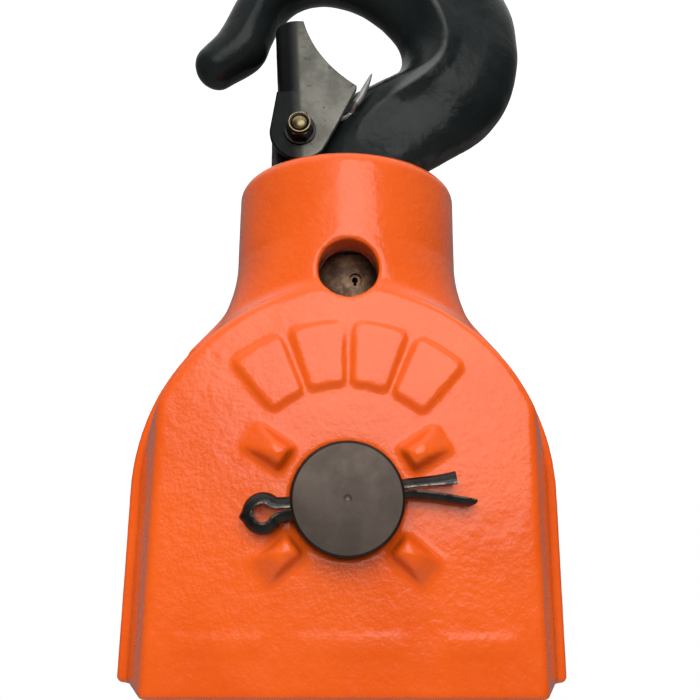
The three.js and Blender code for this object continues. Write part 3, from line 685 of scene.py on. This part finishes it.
def balls_and_cage():
    """Twelve balls, each in a round hole of the cage with a little play."""
    low, high = box_mm("bearing_cage")
    profile = ring(13.4, 19.8, low[2], high[2])
    cage = turned("ball_cage", profile, "ball_set", "bronze", ["bearing_cage"], radius=0.2)
    arc = [(BALL_RADIUS * math.sin(t), BALL_RADIUS * math.cos(t)) for t in np.linspace(math.pi, 0, 17)[1:-1]]
    ball, ball_faces = lathe([(0, -BALL_RADIUS)] + arc + [(0, BALL_RADIUS)], "Z", 32)
    hole, hole_faces = rod(BALL_RADIUS + 0.25, 4, "Z", 24)
    cutters = []
    for i in range(BALL_COUNT):
        number = "%02d" % (i + 1)
        low, high = box_mm("bearing_ball_" + number)
        angle = 2 * math.pi * i / BALL_COUNT
        centre = (BALL_CIRCLE * math.cos(angle), BALL_CIRCLE * math.sin(angle), (low[2] + high[2]) / 2)
        points = shifted(hole, *centre)
        cutters.append((points, outward(points, hole_faces)))
        points = shifted(ball, *centre)
        piece("ball_" + number, points, outward(points, ball_faces), "ball_set", "bright_steel",
              ["bearing_ball_" + number], 180)
    cut(cage, cutters, 35)


# ---------------------------------------------------------------- hook

# Inner point x, z, outer point x, z, half thickness, share of the height of the crest.
HOOK_SECTIONS = (
    (12, -84, -12, -84, 12, 0.5), (12, -91, -12, -91, 12, 0.5), (11.5, -97, -20, -94.5, 9.6, 0.43),
    (10, -108.5, -31, -101, 9.2, 0.33), (3.5, -117.5, -41, -107.7, 9.8, 0.33),
    (-5.5, -122.3, -48, -117.2, 12, 0.34), (-13.5, -126.5, -51.3, -127.5, 12.4, 0.34),
    (-16.6, -132, -52.2, -138, 12.5, 0.33), (-15, -139, -50, -151, 12.5, 0.33),
    (-9.5, -146, -42, -164, 12.3, 0.34), (-1, -151.8, -28, -175, 12, 0.35), (8, -153.8, -9, -181, 11.5, 0.37),
    (15.5, -151.5, 11.5, -178, 10.8, 0.4), (20.5, -146, 25.5, -167, 9.8, 0.43),
    (23.4, -139.1, 34.3, -151.5, 8.6, 0.46), (26.5, -131.4, 39.4, -140.3, 7.6, 0.5),
    (36, -124.2, 44.2, -134.3, 6.7, 0.5),
)
TIP_HEADING = np.array((0.78, 0.62))
TIP_REACH, TIP_RINGS = 6.0, 8
RING_POINTS = 72
RINGS_PER_SECTION = 8

# In sections: the skin is keen, with a crest, from a little below the collar to a little before the tip.
KEEN_START, KEEN_END, KEEN_FADE, KEENEST = 1.6, 15.2, 3.5, 0.85
CREST_WIDTH, FLANK_DIP, FLANK_TAPER, BACK_START = 0.24, 0.075, 0.20, 0.5
THROAT_BOW, THROAT_ROUNDNESS, BACK_SPREAD, BACK_ROUNDNESS = 1.35, 0.62, 0.9, 0.92


def hook_ring(inner, outer, half, crest, keen):
    """One section: a round throat side up to the crest, a flat flank, a rounded back."""
    made = []
    for i in range(RING_POINTS):
        angle = 2 * math.pi * i / RING_POINTS
        c, s = math.cos(angle), math.sin(angle)
        if c < 0:
            reach = crest * (1 + c)
            side = abs(s) * (1 - keen) + (1 - abs(c) ** THROAT_BOW) ** THROAT_ROUNDNESS * keen
        else:
            reach = crest + (1 - crest) * c**BACK_SPREAD
            share = (reach - crest) / (1 - crest)
            dip = min(1, share / CREST_WIDTH)
            back = max(0, (share - BACK_START) / (1 - BACK_START))
            flat = 1 - FLANK_DIP * dip * dip * (3 - 2 * dip) - FLANK_TAPER * share
            side = abs(s) ** BACK_ROUNDNESS * (1 - keen) + flat * (1 - back * back) ** 0.5 * keen
        x = inner[0] + (outer[0] - inner[0]) * reach
        z = inner[1] + (outer[1] - inner[1]) * reach
        made.append((x, half * side * (1 if s >= 0 else -1), z))
    return made


def hook_sweep():
    """The forging's skin: rings through the sections, then smaller ones round the tip."""
    inner = spline([(s[0], s[1], s[4]) for s in HOOK_SECTIONS], RINGS_PER_SECTION)
    outer = spline([(s[2], s[3], s[5]) for s in HOOK_SECTIONS], RINGS_PER_SECTION)
    rings = []
    for i, (a, b) in enumerate(zip(inner, outer)):
        along = i / RINGS_PER_SECTION
        keen = min(1, max(0, along / KEEN_START - 1)) * min(1, max(0, (KEEN_END - along) / KEEN_FADE))
        rings.append(hook_ring(a[:2], b[:2], a[2], b[2], KEENEST * keen))
    x_in, z_in, x_out, z_out, half, _ = HOOK_SECTIONS[-1]
    a, b = np.array((x_in, z_in), float), np.array((x_out, z_out), float)
    centre = (a + b) / 2
    for i in range(1, TIP_RINGS + 1):
        angle = math.pi / 2 * i / (TIP_RINGS + 0.3)
        at = centre + TIP_HEADING * TIP_REACH * math.sin(angle)
        c = math.cos(angle)
        rings.append(hook_ring(at + (a - centre) * c, at + (b - centre) * c, half * c, 0.5, 0))
    points = [p for r in rings for p in r]
    return points, outward(points, tube_faces(len(rings), RING_POINTS))


def polygon_field(u, v, outline):
    """The signed distance in a plane to a closed outline; negative inside."""
    best = np.full(np.broadcast(u, v).shape, 1e9, np.float32)
    inside = np.zeros(best.shape, bool)
    for (ax, ay), (bx, by) in zip(outline, list(outline[1:]) + [outline[0]]):
        ex, ey = bx - ax, by - ay
        if ex * ex + ey * ey < 1e-12:
            continue
        t = np.clip(((u - ax) * ex + (v - ay) * ey) / (ex * ex + ey * ey), 0, 1)
        best = np.minimum(best, (u - ax - ex * t) ** 2 + (v - ay - ey * t) ** 2)
        if ay != by:
            crosses = (ay > v) != (by > v)
            inside ^= crosses & (u < (bx - ax) * (v - ay) / (by - ay) + ax)
    return np.where(inside, -1, 1) * np.sqrt(best)


COLLAR_Z, COLLAR_RADIUS, COLLAR_HALF_HEIGHT = -90.4, 19.0, 2.0
SHANK_MIDDLE_Z, SHANK_HALF_LENGTH = -66.8, 19.2
LATCH_LUG_RADIUS, LATCH_LUG_DROP, LATCH_LUG_HALF_WIDTH = 8.4, 10.8, 6.5


def pivot_hole(f):
    """Negative inside the hole for the latch's bolt."""
    return np.hypot(f.x - PIVOT_X, f.z - PIVOT_Z) - PIVOT_BORE


def latch_lug_outline():
    made = [(2, COLLAR_Z), (PIVOT_X + 7.4, COLLAR_Z), (PIVOT_X + LATCH_LUG_RADIUS, -94.5)]
    for a in np.linspace(0, -0.6 * math.pi, 24):
        made.append((PIVOT_X + LATCH_LUG_RADIUS * math.cos(a), PIVOT_Z + LATCH_LUG_DROP * math.sin(a)))
    made.append((2, PIVOT_Z - 14))
    return made


def hook():
    """The sweep joined by fillets to the latch's lug, the collar and the shank."""
    f = Field((-55, -24, -184), (52, 24, -45), 0.55)
    body = f.from_mesh(*hook_sweep())
    across = np.hypot(f.x, f.y)
    shank = rmax(across - SHANK_RADIUS, np.abs(f.z - SHANK_MIDDLE_Z) - SHANK_HALF_LENGTH, 0.8)
    collar = rmax(across - COLLAR_RADIUS, np.abs(f.z - COLLAR_Z) - COLLAR_HALF_HEIGHT, 1.0)
    plane = polygon_field(f.x[:, :, 0], f.z[0], latch_lug_outline())[:, None, :]
    whole = rmin(body, rmax(plane, np.abs(f.y) - LATCH_LUG_HALF_WIDTH, 1.4), 2.0)
    whole = rmin(whole, collar, 2.5)
    whole = rmin(whole, shank, 0.5)
    whole = np.maximum(whole, -pivot_hole(f))
    points, quads = f.skin(whole)
    # Towards the tip, past x = 16, the ridges get less of the painted highlight and wear.
    ridge_highlight_and_wear = sampled(f, ridges(f, whole), points) * np.clip((24 - points[:, 0]) / 8, 0.35, 1)
    field_piece(
        "forged_hook", points, quads, "hook", "forged_black", ["hook"],
        grain=((9.0, 0.35), (1.6, 0.07)), attribute=("ridge_highlight_and_wear", ridge_highlight_and_wear),
    )


# ---------------------------------------------------------------- latch

# The latch's channel: half its inside width, its sheet, its outer bend, and its web, which leans forward.
LATCH_INNER, LATCH_SHEET, LATCH_BEND = 11.0, 1.8, 6.5
LATCH_FACE = LATCH_INNER + LATCH_SHEET
LATCH_TOP_Z, LATCH_BACK, LATCH_LEAN, WEB_LOW_Z = -137.0, 21.8, 0.06, -113.8
EAR_RADIUS = 8.6
SCREW_RADIUS, THREAD_DEPTH, THREAD_PITCH = 2.0, 0.2, 0.5
WIRE_RADIUS = 0.70
TAPER_END, TAPER_SWELL, TAPER_POWER, TAPER_SPAN = 0.25, 1.3, 0.8, 0.62


def bezier(a, b, c, d, steps):
    a, b, c, d = (np.array(p, float) for p in (a, b, c, d))
    made = []
    for i in range(1, steps + 1):
        t = i / steps
        made.append(tuple((1 - t) ** 3 * a + 3 * t * (1 - t) ** 2 * b + 3 * t * t * (1 - t) * c + t**3 * d))
    return made


def latch_outline():
    """The cheek from the side, down its curved throat edge, round the ear and up the web."""
    top = (13.2, LATCH_TOP_Z)
    made = [(LATCH_BACK + 3, LATCH_TOP_Z), top]
    made += bezier(top, (11.4, -130), (6.5, -122), (-2.4, -116.4), 20)
    made += [(-2.3, -115.4), (0.2, -110.2), (2.6, -105.0)]
    for a in np.linspace(math.pi * 0.77, 0, 28):
        made.append((PIVOT_X + EAR_RADIUS * math.cos(a), PIVOT_Z + EAR_RADIUS * math.sin(a)))
    made.append((LATCH_BACK - LATCH_LEAN * (WEB_LOW_Z - LATCH_TOP_Z), WEB_LOW_Z))
    made.append((LATCH_BACK + 3, WEB_LOW_Z - 1))
    return made


def latch():
    f = Field((-5, -14.5, -139), (26, 14.5, -93), 0.3)
    side = polygon_field(f.x[:, :, 0], f.z[0], latch_outline())[:, None, :]
    x = f.x + LATCH_LEAN * (f.z - LATCH_TOP_Z)
    outer = rmax(x - LATCH_BACK, np.abs(f.y) - LATCH_FACE, LATCH_BEND)
    inner = rmax(x - LATCH_BACK + LATCH_SHEET, np.abs(f.y) - LATCH_INNER, LATCH_BEND - LATCH_SHEET)
    cheeks = np.maximum(np.abs(f.y) - LATCH_FACE, LATCH_INNER - np.abs(f.y))
    folded = np.where(f.z < WEB_LOW_Z, np.maximum(outer, -inner), cheeks)
    whole = np.maximum(rmax(side, folded, 0.3), -pivot_hole(f))
    points, quads = f.skin(whole)
    field_piece("safety_latch", points, quads, "latch", "latch_steel", ["hook_latch"], grain=((6.0, 0.08),))


def hexagon(radius, low, high, chamfer):
    """A grid and on it a hexagonal prism along Y with its corners coned off at both ends."""
    f = Field((-radius - 1, low - 0.6, -radius - 1), (radius + 1, high + 0.6, radius + 1), 0.14)
    sides = np.abs(f.z)
    for a in (math.pi / 3, -math.pi / 3):
        sides = np.maximum(sides, np.abs(f.x * math.sin(a) + f.z * math.cos(a)))
    past_end = np.abs(f.y - (low + high) / 2) - (high - low) / 2
    body = rmax(sides - radius * math.cos(math.pi / 6), past_end, 0.15)
    cone = np.hypot(f.x, f.z) + 1.7 * past_end - radius + chamfer
    return f, np.maximum(body, cone * 0.5)


def pivot():
    """The latch's bolt with its head, and on the front its washer and its nut with a plated lip."""
    place = Matrix.Translation((PIVOT_X, 0, PIVOT_Z))
    shift = np.array((PIVOT_X, 0, PIVOT_Z))
    front = box_mm("latch_pivot_bolt")[0][1]
    root = SCREW_RADIUS - THREAD_DEPTH
    profile = [(0, front + 0.1), (1.3, front), (SCREW_RADIUS, front + 0.5)]
    y = front + 0.8
    while y < -LATCH_FACE - 1.2:
        profile += [(SCREW_RADIUS, y), (root, y + 0.2), (SCREW_RADIUS, y + 0.4)]
        y += THREAD_PITCH
    profile += [(SCREW_RADIUS, LATCH_FACE + 0.3), (SCREW_RADIUS, LATCH_FACE + 1.0), (0, LATCH_FACE + 1.0)]
    turned("pivot_screw", profile, "hook", "plated_steel", ["latch_pivot_bolt"], axis="Y", segments=48,
           place=place, radius=0)
    f, head = hexagon(4.0, LATCH_FACE + 0.35, LATCH_FACE + 3.1, 0.35)
    points, quads = f.skin(head)
    field_piece("pivot_screw_head", points + shift, quads, "hook", "plated_steel", ())
    low, high = box_mm("latch_pivot_washer")
    turned("pivot_washer", ring(PIVOT_BORE, 4.5, low[1], high[1]), "hook", "black_oxide",
           ["latch_pivot_washer"], axis="Y", place=place, radius=0.12)
    low, high = box_mm("latch_pivot_nut")
    f, nut = hexagon(3.9, low[1] + 0.8, high[1], 0.3)
    across = np.hypot(f.x, f.z)
    collar = rmax(across - 3.1, np.abs(f.y - low[1] - 1.2) - 1.2, 0.3)
    points, quads = f.skin(np.maximum(rmin(nut, collar, 0.2), PIVOT_BORE - across))
    field_piece("pivot_nut", points + shift, quads, "hook", "black_oxide", ["latch_pivot_nut"])
    lip = low[1] - 0.12
    turned("pivot_nut_lip", ring(2.72, 3.05, lip, lip + 0.4), "hook", "plated_steel", axis="Y", segments=48,
           place=place, radius=0.1)


def wire(name, controls, body, nodes=(), taper=0):
    """A round wire through the controls; over its last rings it swells a little and narrows to the end."""
    path = spline(controls, 6)
    ups = []
    up = Vector((0.1, 1, 0.05))
    for i in range(len(path)):
        ahead = Vector(path[min(i + 1, len(path) - 1)]) - Vector(path[max(i - 1, 0)])
        tangent = ahead.normalized()
        up = (up - tangent * up.dot(tangent)).normalized()
        ups.append(tuple(up))
    scale = [(1.0, 1.0)] * len(path)
    for i in range(taper):
        size = TAPER_END + TAPER_SWELL * math.sin(math.pi * (i / taper) ** TAPER_POWER * TAPER_SPAN)
        scale[-1 - i] = (size, size)
    turns = [2 * math.pi * k / 14 for k in range(14)]
    section = [(WIRE_RADIUS * math.cos(a), WIRE_RADIUS * math.sin(a)) for a in turns]
    points, faces = sweep(path, ups, section, scale)
    return piece(name, points, outward(points, faces), body, "bright_steel", nodes, 60)


def latch_spring():
    """A coil round the pivot, one leg lying along the hook and one behind the latch's cheek."""
    turns, radius, start, advance = 1.72, 3.2, 7.5, 2.5
    coil = []
    for i in range(21):
        a = 2 * math.pi * turns * i / 20
        y = -start - advance * i / 20
        coil.append((PIVOT_X + radius * math.cos(a), y, PIVOT_Z + radius * math.sin(a)))
    y = -start - advance
    leg = [
        (10, y, -105.6), (5.0, y + 0.2, -106.8), (1.8, y + 1.6, -108.2), (-0.8, y + 2.6, -110.4),
        (-2.0, y + 0.5, -112.2), (-3.4, y + 0.4, -114.3), (-5.2, y + 0.4, -118.2), (-6.8, y + 0.3, -122.2),
    ]
    wire("spring_coil", coil + leg, "hook", ["latch_spring"], taper=18)
    short = [(radius, -0.4), (2.6, -4), (0.6, -10)]
    wire("spring_short_leg", [(PIVOT_X + x, -start, PIVOT_Z + z) for x, z in short], "latch")


# ---------------------------------------------------------------- materials


class Shader:
    """A small helper to write a node material as a few lines; distances are in metres unless they say mm."""

    def __init__(self, name):
        self.material = bpy.data.materials.new(name)
        self.material.use_nodes = True
        self.tree = self.material.node_tree
        self.tree.nodes.clear()
        out = self.tree.nodes.new("ShaderNodeOutputMaterial")
        self.principled = self.tree.nodes.new("ShaderNodeBsdfPrincipled")
        self.link(self.principled.outputs[0], out.inputs["Surface"])
        self.coords = self.tree.nodes.new("ShaderNodeTexCoord").outputs["Object"]

    def link(self, a, b):
        self.tree.links.new(a, b)

    def feed(self, socket, value):
        """Puts a colour or a number on the socket, or links another node to it."""
        if isinstance(value, tuple):
            socket.default_value = (*value, 1.0)
        elif isinstance(value, (int, float)):
            socket.default_value = value
        else:
            self.link(value, socket)

    def noise(self, size_mm, detail=4.0, rough=0.5):
        node = self.tree.nodes.new("ShaderNodeTexNoise")
        node.inputs["Scale"].default_value = 1000.0 / size_mm
        node.inputs["Detail"].default_value = detail
        node.inputs["Roughness"].default_value = rough
        self.link(self.coords, node.inputs["Vector"])
        return node.outputs["Fac"]

    def ramp(self, value, low, high, low_to=0.0, high_to=1.0):
        """Runs smoothly from one amount to another while the value goes from low to high."""
        node = self.tree.nodes.new("ShaderNodeMapRange")
        node.interpolation_type = "SMOOTHSTEP"
        node.inputs["From Min"].default_value = low
        node.inputs["From Max"].default_value = high
        node.inputs["To Min"].default_value = low_to
        node.inputs["To Max"].default_value = high_to
        self.link(value, node.inputs["Value"])
        return node.outputs["Result"]

    def math(self, kind, *values):
        node = self.tree.nodes.new("ShaderNodeMath")
        node.operation = kind
        for socket, value in zip(node.inputs, values):
            self.feed(socket, value)
        return node.outputs[0]

    def mix(self, factor, a, b):
        """One colour into another by the factor."""
        node = self.tree.nodes.new("ShaderNodeMix")
        node.data_type = "RGBA"
        for index, value in ((0, factor), (6, a), (7, b)):
            self.feed(node.inputs[index], value)
        return node.outputs[2]

    def axes(self):
        node = self.tree.nodes.new("ShaderNodeSeparateXYZ")
        self.link(self.coords, node.inputs[0])
        return node.outputs

    def from_axle(self):
        """The distance in metres from the axle's axis."""
        x, _, z = self.axes()
        return self.math("SQRT", self.math("ADD", self.math("MULTIPLY", x, x), self.math("MULTIPLY", z, z)))

    def attribute(self, name):
        node = self.tree.nodes.new("ShaderNodeAttribute")
        node.attribute_name = name
        return node.outputs["Fac"]

    def bump(self, layers):
        """Stacks (height, distance in mm, strength) bumps."""
        normal = None
        for height, distance, strength in layers:
            node = self.tree.nodes.new("ShaderNodeBump")
            node.inputs["Distance"].default_value = distance * MM
            self.feed(node.inputs["Strength"], strength)
            self.link(height, node.inputs["Height"])
            if normal is not None:
                self.link(normal, node.inputs["Normal"])
            normal = node.outputs[0]
        self.link(normal, self.principled.inputs["Normal"])

    def set(self, **values):
        names = {
            "color": "Base Color", "metallic": "Metallic", "roughness": "Roughness",
            "specular": "Specular IOR Level", "coat": "Coat Weight", "coat_roughness": "Coat Roughness",
            "coat_ior": "Coat IOR",
        }
        for key, value in values.items():
            self.feed(self.principled.inputs[names[key]], value)


def orange_enamel():
    """Paint over cast unevenness, rough near the axle, fading inside the hollows to dark raw iron that is
    partly painted shade.
    """
    s = Shader("orange_enamel")
    broad = s.noise(30, 3)
    fine = s.noise(3.5, 5, 0.6)
    paint = s.mix(s.ramp(broad, 0.35, 0.65), (0.86, 0.105, 0.006), (0.93, 0.125, 0.010))
    paint = s.mix(s.ramp(fine, 0.55, 0.8, 0, 0.35), paint, (0.80, 0.080, 0.004))
    # Dark raw-iron colour for the hollows, partly painted shade there.
    raw_iron_and_shade = s.mix(s.ramp(s.noise(2.5, 5, 0.6), 0.4, 0.62), (0.055, 0.030, 0.018), (0.16, 0.075, 0.035))
    inner = s.math("ADD", s.attribute("inner"), s.ramp(s.noise(3.0, 4), 0.3, 0.7, -0.25, 0.25))
    inside = s.ramp(inner, 0.25, 0.75)
    s.set(color=s.mix(inside, paint, raw_iron_and_shade))
    rough = s.ramp(s.noise(5, 5, 0.6), 0.35, 0.65, 0.17, 0.28)
    s.set(roughness=s.math("MULTIPLY_ADD", inside, 0.35, rough))
    s.set(specular=0.45, coat=0.4, coat_roughness=0.09, coat_ior=1.5)
    near = s.ramp(s.from_axle(), 0.0128, 0.0195, 1.0, 0.0)
    crumbs = s.noise(0.8, 3, 0.6)
    s.bump([
        (s.noise(6.0, 3), 0.22, 0.35),
        (s.noise(1.5, 3, 0.55), 0.16, 0.75),
        (s.noise(0.55, 2), 0.06, 0.60),
        (crumbs, 0.22, s.math("MULTIPLY", near, 0.8)),
    ])
    return s.material


def forged_black():
    """Dark forging scale, painted lighter on the ridges: a painted highlight along the crests, partly rubbing
    wear.
    """
    s = Shader("forged_black")
    ridge_highlight_and_wear = s.math("ADD", s.attribute("ridge_highlight_and_wear"), s.ramp(s.noise(4, 5, 0.6), 0.3, 0.7, -0.02, 0.02))
    # Painted highlight, partly wear: the crests are lighter where the solid is sharply crowned.
    edge = s.ramp(ridge_highlight_and_wear, 0.125, 0.30, 0.0, 0.60)
    dark = s.mix(s.ramp(s.noise(18, 4), 0.35, 0.65), (0.0075, 0.0100, 0.0100), (0.014, 0.0175, 0.017))
    s.set(color=s.mix(edge, dark, (0.16, 0.165, 0.155)), metallic=0.0, specular=0.24)
    s.set(roughness=s.ramp(s.noise(7, 5, 0.6), 0.3, 0.7, 0.17, 0.32))
    s.bump([
        (s.noise(9, 4), 0.5, 0.5),
        (s.noise(1.6, 4, 0.6), 0.16, 0.5),
        (s.noise(0.5, 3), 0.05, 0.4),
    ])
    return s.material


def axle_steel():
    """Stained turned steel, painted lighter towards its lower side as painted light, with a dark ring of
    painted shade at its front edge.
    """
    s = Shader("axle_steel")
    _, y, z = s.axes()
    radius = s.from_axle()
    rings = s.math("SINE", s.math("MULTIPLY", radius, 2 * math.pi / 0.00045))
    stain = s.noise(9, 5, 0.6)
    base = s.mix(s.ramp(stain, 0.38, 0.64), (0.070, 0.051, 0.040), (0.096, 0.071, 0.056))
    # Painted light: a lit copy of the stained steel, mixed in towards the lower side.
    lit = s.mix(s.ramp(stain, 0.38, 0.64), (0.112, 0.083, 0.066), (0.150, 0.114, 0.092))
    base = s.mix(s.ramp(z, -0.013, 0.009, 1.0, 0.0), base, lit)
    # Painted shade: the front edge's chamfer and rim are painted nearly black.
    edge = s.math("MULTIPLY", s.ramp(radius, 0.01178, 0.01192), s.ramp(y, -0.0302, -0.0300, 1.0, 0.0))
    base = s.mix(s.math("MULTIPLY", edge, 0.92), base, (0.012, 0.008, 0.006))
    spot = s.ramp(radius, 0.0002, 0.0006, 1.0, 0.0)
    s.set(color=s.mix(spot, base, (0.22, 0.20, 0.18)), metallic=0.35)
    s.set(roughness=s.ramp(s.noise(3, 5), 0.3, 0.7, 0.42, 0.56))
    s.bump([
        (rings, 0.01, 0.25),
        (s.noise(1.2, 4, 0.6), 0.05, 0.35),
    ])
    return s.material


def metal(name, dark, light, rough, size=5.0, metallic=1.0, grain=0.05, spots=None):
    """A plain metal, mottled between two colours, with spots as (colour, amount)."""
    s = Shader(name)
    base = s.mix(s.ramp(s.noise(size, 5, 0.6), 0.36, 0.66), dark, light)
    if spots is not None:
        colour, amount = spots
        base = s.mix(s.ramp(s.noise(size * 0.45, 5, 0.65), 0.56, 0.68, 0, amount), base, colour)
    s.set(color=base, metallic=metallic, roughness=s.ramp(s.noise(size * 0.7, 5, 0.6), 0.3, 0.7, *rough))
    s.bump([
        (s.noise(size * 0.5, 4, 0.6), grain, 0.5),
        (s.noise(0.45, 3), grain * 0.4, 0.5),
    ])
    return s.material


def black_oxide():
    """Oiled black steel; the split pin's foremost edge is painted bright, a painted highlight with some
    rubbing wear.
    """
    s = Shader("black_oxide")
    base = s.mix(s.ramp(s.noise(3, 5, 0.6), 0.36, 0.66), (0.006, 0.005, 0.004), (0.020, 0.017, 0.014))
    y = s.axes()[1]
    # Painted highlight, partly rubbing: a thin strip along the split pin's foremost edge is painted bright.
    edge = s.ramp(y, SPLIT_PIN_Y * MM - 0.00224, SPLIT_PIN_Y * MM - 0.00217, 1.0, 0.0)
    rubbed_highlight = s.math("MULTIPLY", edge, s.ramp(s.noise(1.6, 4, 0.6), 0.42, 0.62, 0.05, 0.8))
    s.set(color=s.mix(rubbed_highlight, base, (0.34, 0.30, 0.25)), metallic=s.math("MULTIPLY_ADD", rubbed_highlight, 0.5, 0.2))
    s.set(roughness=s.ramp(s.noise(2, 5, 0.6), 0.3, 0.7, 0.10, 0.22))
    s.bump([
        (s.noise(1.5, 4, 0.6), 0.10, 0.5),
        (s.noise(0.45, 3), 0.03, 0.5),
    ])
    return s.material


def latch_steel():
    """Stained bare sheet on the cheeks, painted shade round the fold and on the cheek beside it."""
    s = Shader("latch_steel")
    x, _, z = s.axes()
    stain = s.noise(7, 5, 0.65)
    base = s.mix(s.ramp(stain, 0.36, 0.62), (0.145, 0.140, 0.118), (0.245, 0.240, 0.205))
    base = s.mix(s.ramp(s.noise(2.2, 5, 0.7), 0.58, 0.70, 0, 0.7), base, (0.040, 0.038, 0.032))
    lean = s.math("ADD", x, s.math("MULTIPLY", z, LATCH_LEAN))
    fold = LATCH_BACK * MM + LATCH_LEAN * LATCH_TOP_Z * MM
    # Painted shade: dark grey next to the bare cheek, nearly black towards the bend.
    folded = s.ramp(lean, fold - 0.0074, fold - 0.0060)
    painted_fold_shade = s.mix(s.ramp(lean, fold - 0.0066, fold - 0.0035), (0.060, 0.062, 0.058), (0.010, 0.011, 0.011))
    s.set(color=s.mix(folded, base, painted_fold_shade))
    s.set(metallic=0.75, roughness=s.ramp(s.noise(3.5, 5, 0.6), 0.3, 0.7, 0.36, 0.52))
    s.bump([
        (s.noise(3, 4, 0.6), 0.08, 0.5),
        (s.noise(0.5, 3), 0.03, 0.5),
    ])
    return s.material


def assign(materials):
    for obj in bpy.context.scene.objects:
        slot = obj.get("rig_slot")
        if obj.type == "MESH" and slot in materials:
            obj.data.materials.clear()
            obj.data.materials.append(materials[slot])


# ---------------------------------------------------------------- studio


def stage():
    """A pale floor under the hook, two soft lamps in front and a dim studio round them."""
    z, size = cad_low.z - 0.003, 6.0
    corners = [(x, y, z) for x, y in ((-size, -size), (size, -size), (size, size), (-size, size))]
    mesh = bpy.data.meshes.new("floor")
    mesh.from_pydata(corners, [], [(0, 1, 2, 3)])
    floor = bpy.data.objects.new("floor", mesh)
    bpy.context.scene.collection.objects.link(floor)
    s = Shader("pale_floor")
    grey = s.mix(s.ramp(s.noise(400, 2), 0.4, 0.6), (0.93, 0.93, 0.93), (0.95, 0.95, 0.95))
    s.set(color=grey, roughness=0.8)
    s.principled.inputs["Emission Color"].default_value = (1, 1, 1, 1)
    s.principled.inputs["Emission Strength"].default_value = 0.9
    mesh.materials.append(s.material)
    floor.visible_diffuse = floor.visible_glossy = floor.visible_shadow = False

    sky()
    lamp("key", (-0.14, -0.90, -0.31), (-0.02, 0, -0.03), 0.72, 2.6)
    fill = lamp("fill", (0.12, -0.95, -0.38), (0, 0, -0.03), 0.9, 7.8)
    fill.visible_glossy = False


SKY_FRONT, SKY_BACK, SKY_TOP, SKY_BELOW = 0.09, 0.19, 0.25, 0.7


def sky():
    """Studio walls: dim in front of the object, pale behind and below it; seen as white."""
    world = bpy.data.worlds.new("studio")
    bpy.context.scene.world = world
    world.use_nodes = True
    tree = world.node_tree

    def node(kind, *inputs):
        made = tree.nodes.new(kind)
        for i, value in enumerate(inputs):
            if isinstance(value, (int, float)):
                made.inputs[i].default_value = value
            elif value is not None:
                tree.links.new(value, made.inputs[i])
        return made

    axes = node("ShaderNodeSeparateXYZ", node("ShaderNodeTexCoord").outputs["Generated"]).outputs
    back = node("ShaderNodeMapRange", axes[1], 0.0, 0.65, SKY_FRONT, SKY_BACK)
    top = node("ShaderNodeMapRange", axes[2], 0.30, 0.90, 0.0, SKY_TOP)
    below = node("ShaderNodeMapRange", axes[2], -0.90, -0.35, SKY_BELOW, 0.0)
    back.interpolation_type = top.interpolation_type = below.interpolation_type = "SMOOTHSTEP"
    ends = node("ShaderNodeMath", below.outputs[0], top.outputs[0])
    light = node("ShaderNodeMath", back.outputs[0], ends.outputs[0])
    seen = node("ShaderNodeMath", node("ShaderNodeLightPath").outputs["Is Camera Ray"], 1.0)
    seen.operation = "MULTIPLY"
    light = node("ShaderNodeMath", light.outputs[0], seen.outputs[0])
    light.operation = "MAXIMUM"
    tree.links.new(light.outputs[0], tree.nodes["Background"].inputs[1])
    tree.nodes["Background"].inputs[0].default_value = (1, 1, 1, 1)


def lamp(name, at, target, width, power):
    """A round softbox."""
    data = bpy.data.lights.new(name, "AREA")
    data.shape = "DISK"
    data.size = width
    data.energy = power
    obj = bpy.data.objects.new(name, data)
    bpy.context.scene.collection.objects.link(obj)
    obj.location = at
    obj.rotation_mode = "QUATERNION"
    obj.rotation_quaternion = (Vector(target) - Vector(at)).to_track_quat("-Z", "Y")
    return obj


def camera():
    """Looks straight at the front, with the hook up."""
    data = bpy.data.cameras.new("camera")
    data.lens, data.sensor_width = 38.02, 36.0
    data.clip_start, data.clip_end = 0.005, 50
    obj = bpy.data.objects.new("camera", data)
    bpy.context.scene.collection.objects.link(obj)
    right = Vector((-0.999583, -0.028015, -0.007046))
    up = Vector((0.013196, -0.225870, -0.974072))
    back = right.cross(up).normalized()
    up = back.cross(right).normalized()
    turn = Matrix((right.normalized(), up, back)).transposed().to_4x4()
    obj.matrix_world = Matrix.Translation(Vector((4.027, -200.896, 4.8465)) * MM) @ turn
    bpy.context.scene.camera = obj


camera()
stage()
frame_casting()
axle()
split_pin()
chain_wheel()
bush_and_spacers()
swivel_nut()
races()
balls_and_cage()
hook()
latch()
pivot()
latch_spring()
assign({
    "orange_enamel": orange_enamel(),
    "forged_black": forged_black(),
    "axle_steel": axle_steel(),
    "latch_steel": latch_steel(),
    "black_oxide": black_oxide(),
    "wheel_steel": metal("wheel_steel", (0.060, 0.060, 0.064), (0.14, 0.14, 0.14), (0.30, 0.48), 6.0, 0.9),
    "bronze": metal("bronze", (0.30, 0.16, 0.06), (0.46, 0.27, 0.10), (0.24, 0.36), 4.0),
    "bright_steel": metal("bright_steel", (0.38, 0.38, 0.37), (0.56, 0.56, 0.54), (0.32, 0.48), 4.0, 0.75),
    "plated_steel": metal("plated_steel", (0.36, 0.27, 0.13), (0.52, 0.42, 0.24), (0.24, 0.38), 2.0),
    "brown_steel": metal(
        "brown_steel", (0.085, 0.050, 0.032), (0.24, 0.15, 0.09), (0.34, 0.55), 3.0, 0.7, 0.08,
        ((0.30, 0.20, 0.11), 0.6),
    ),
})

bpy.context.scene.view_settings.view_transform = "Standard"
bpy.context.scene.view_settings.look = "None"
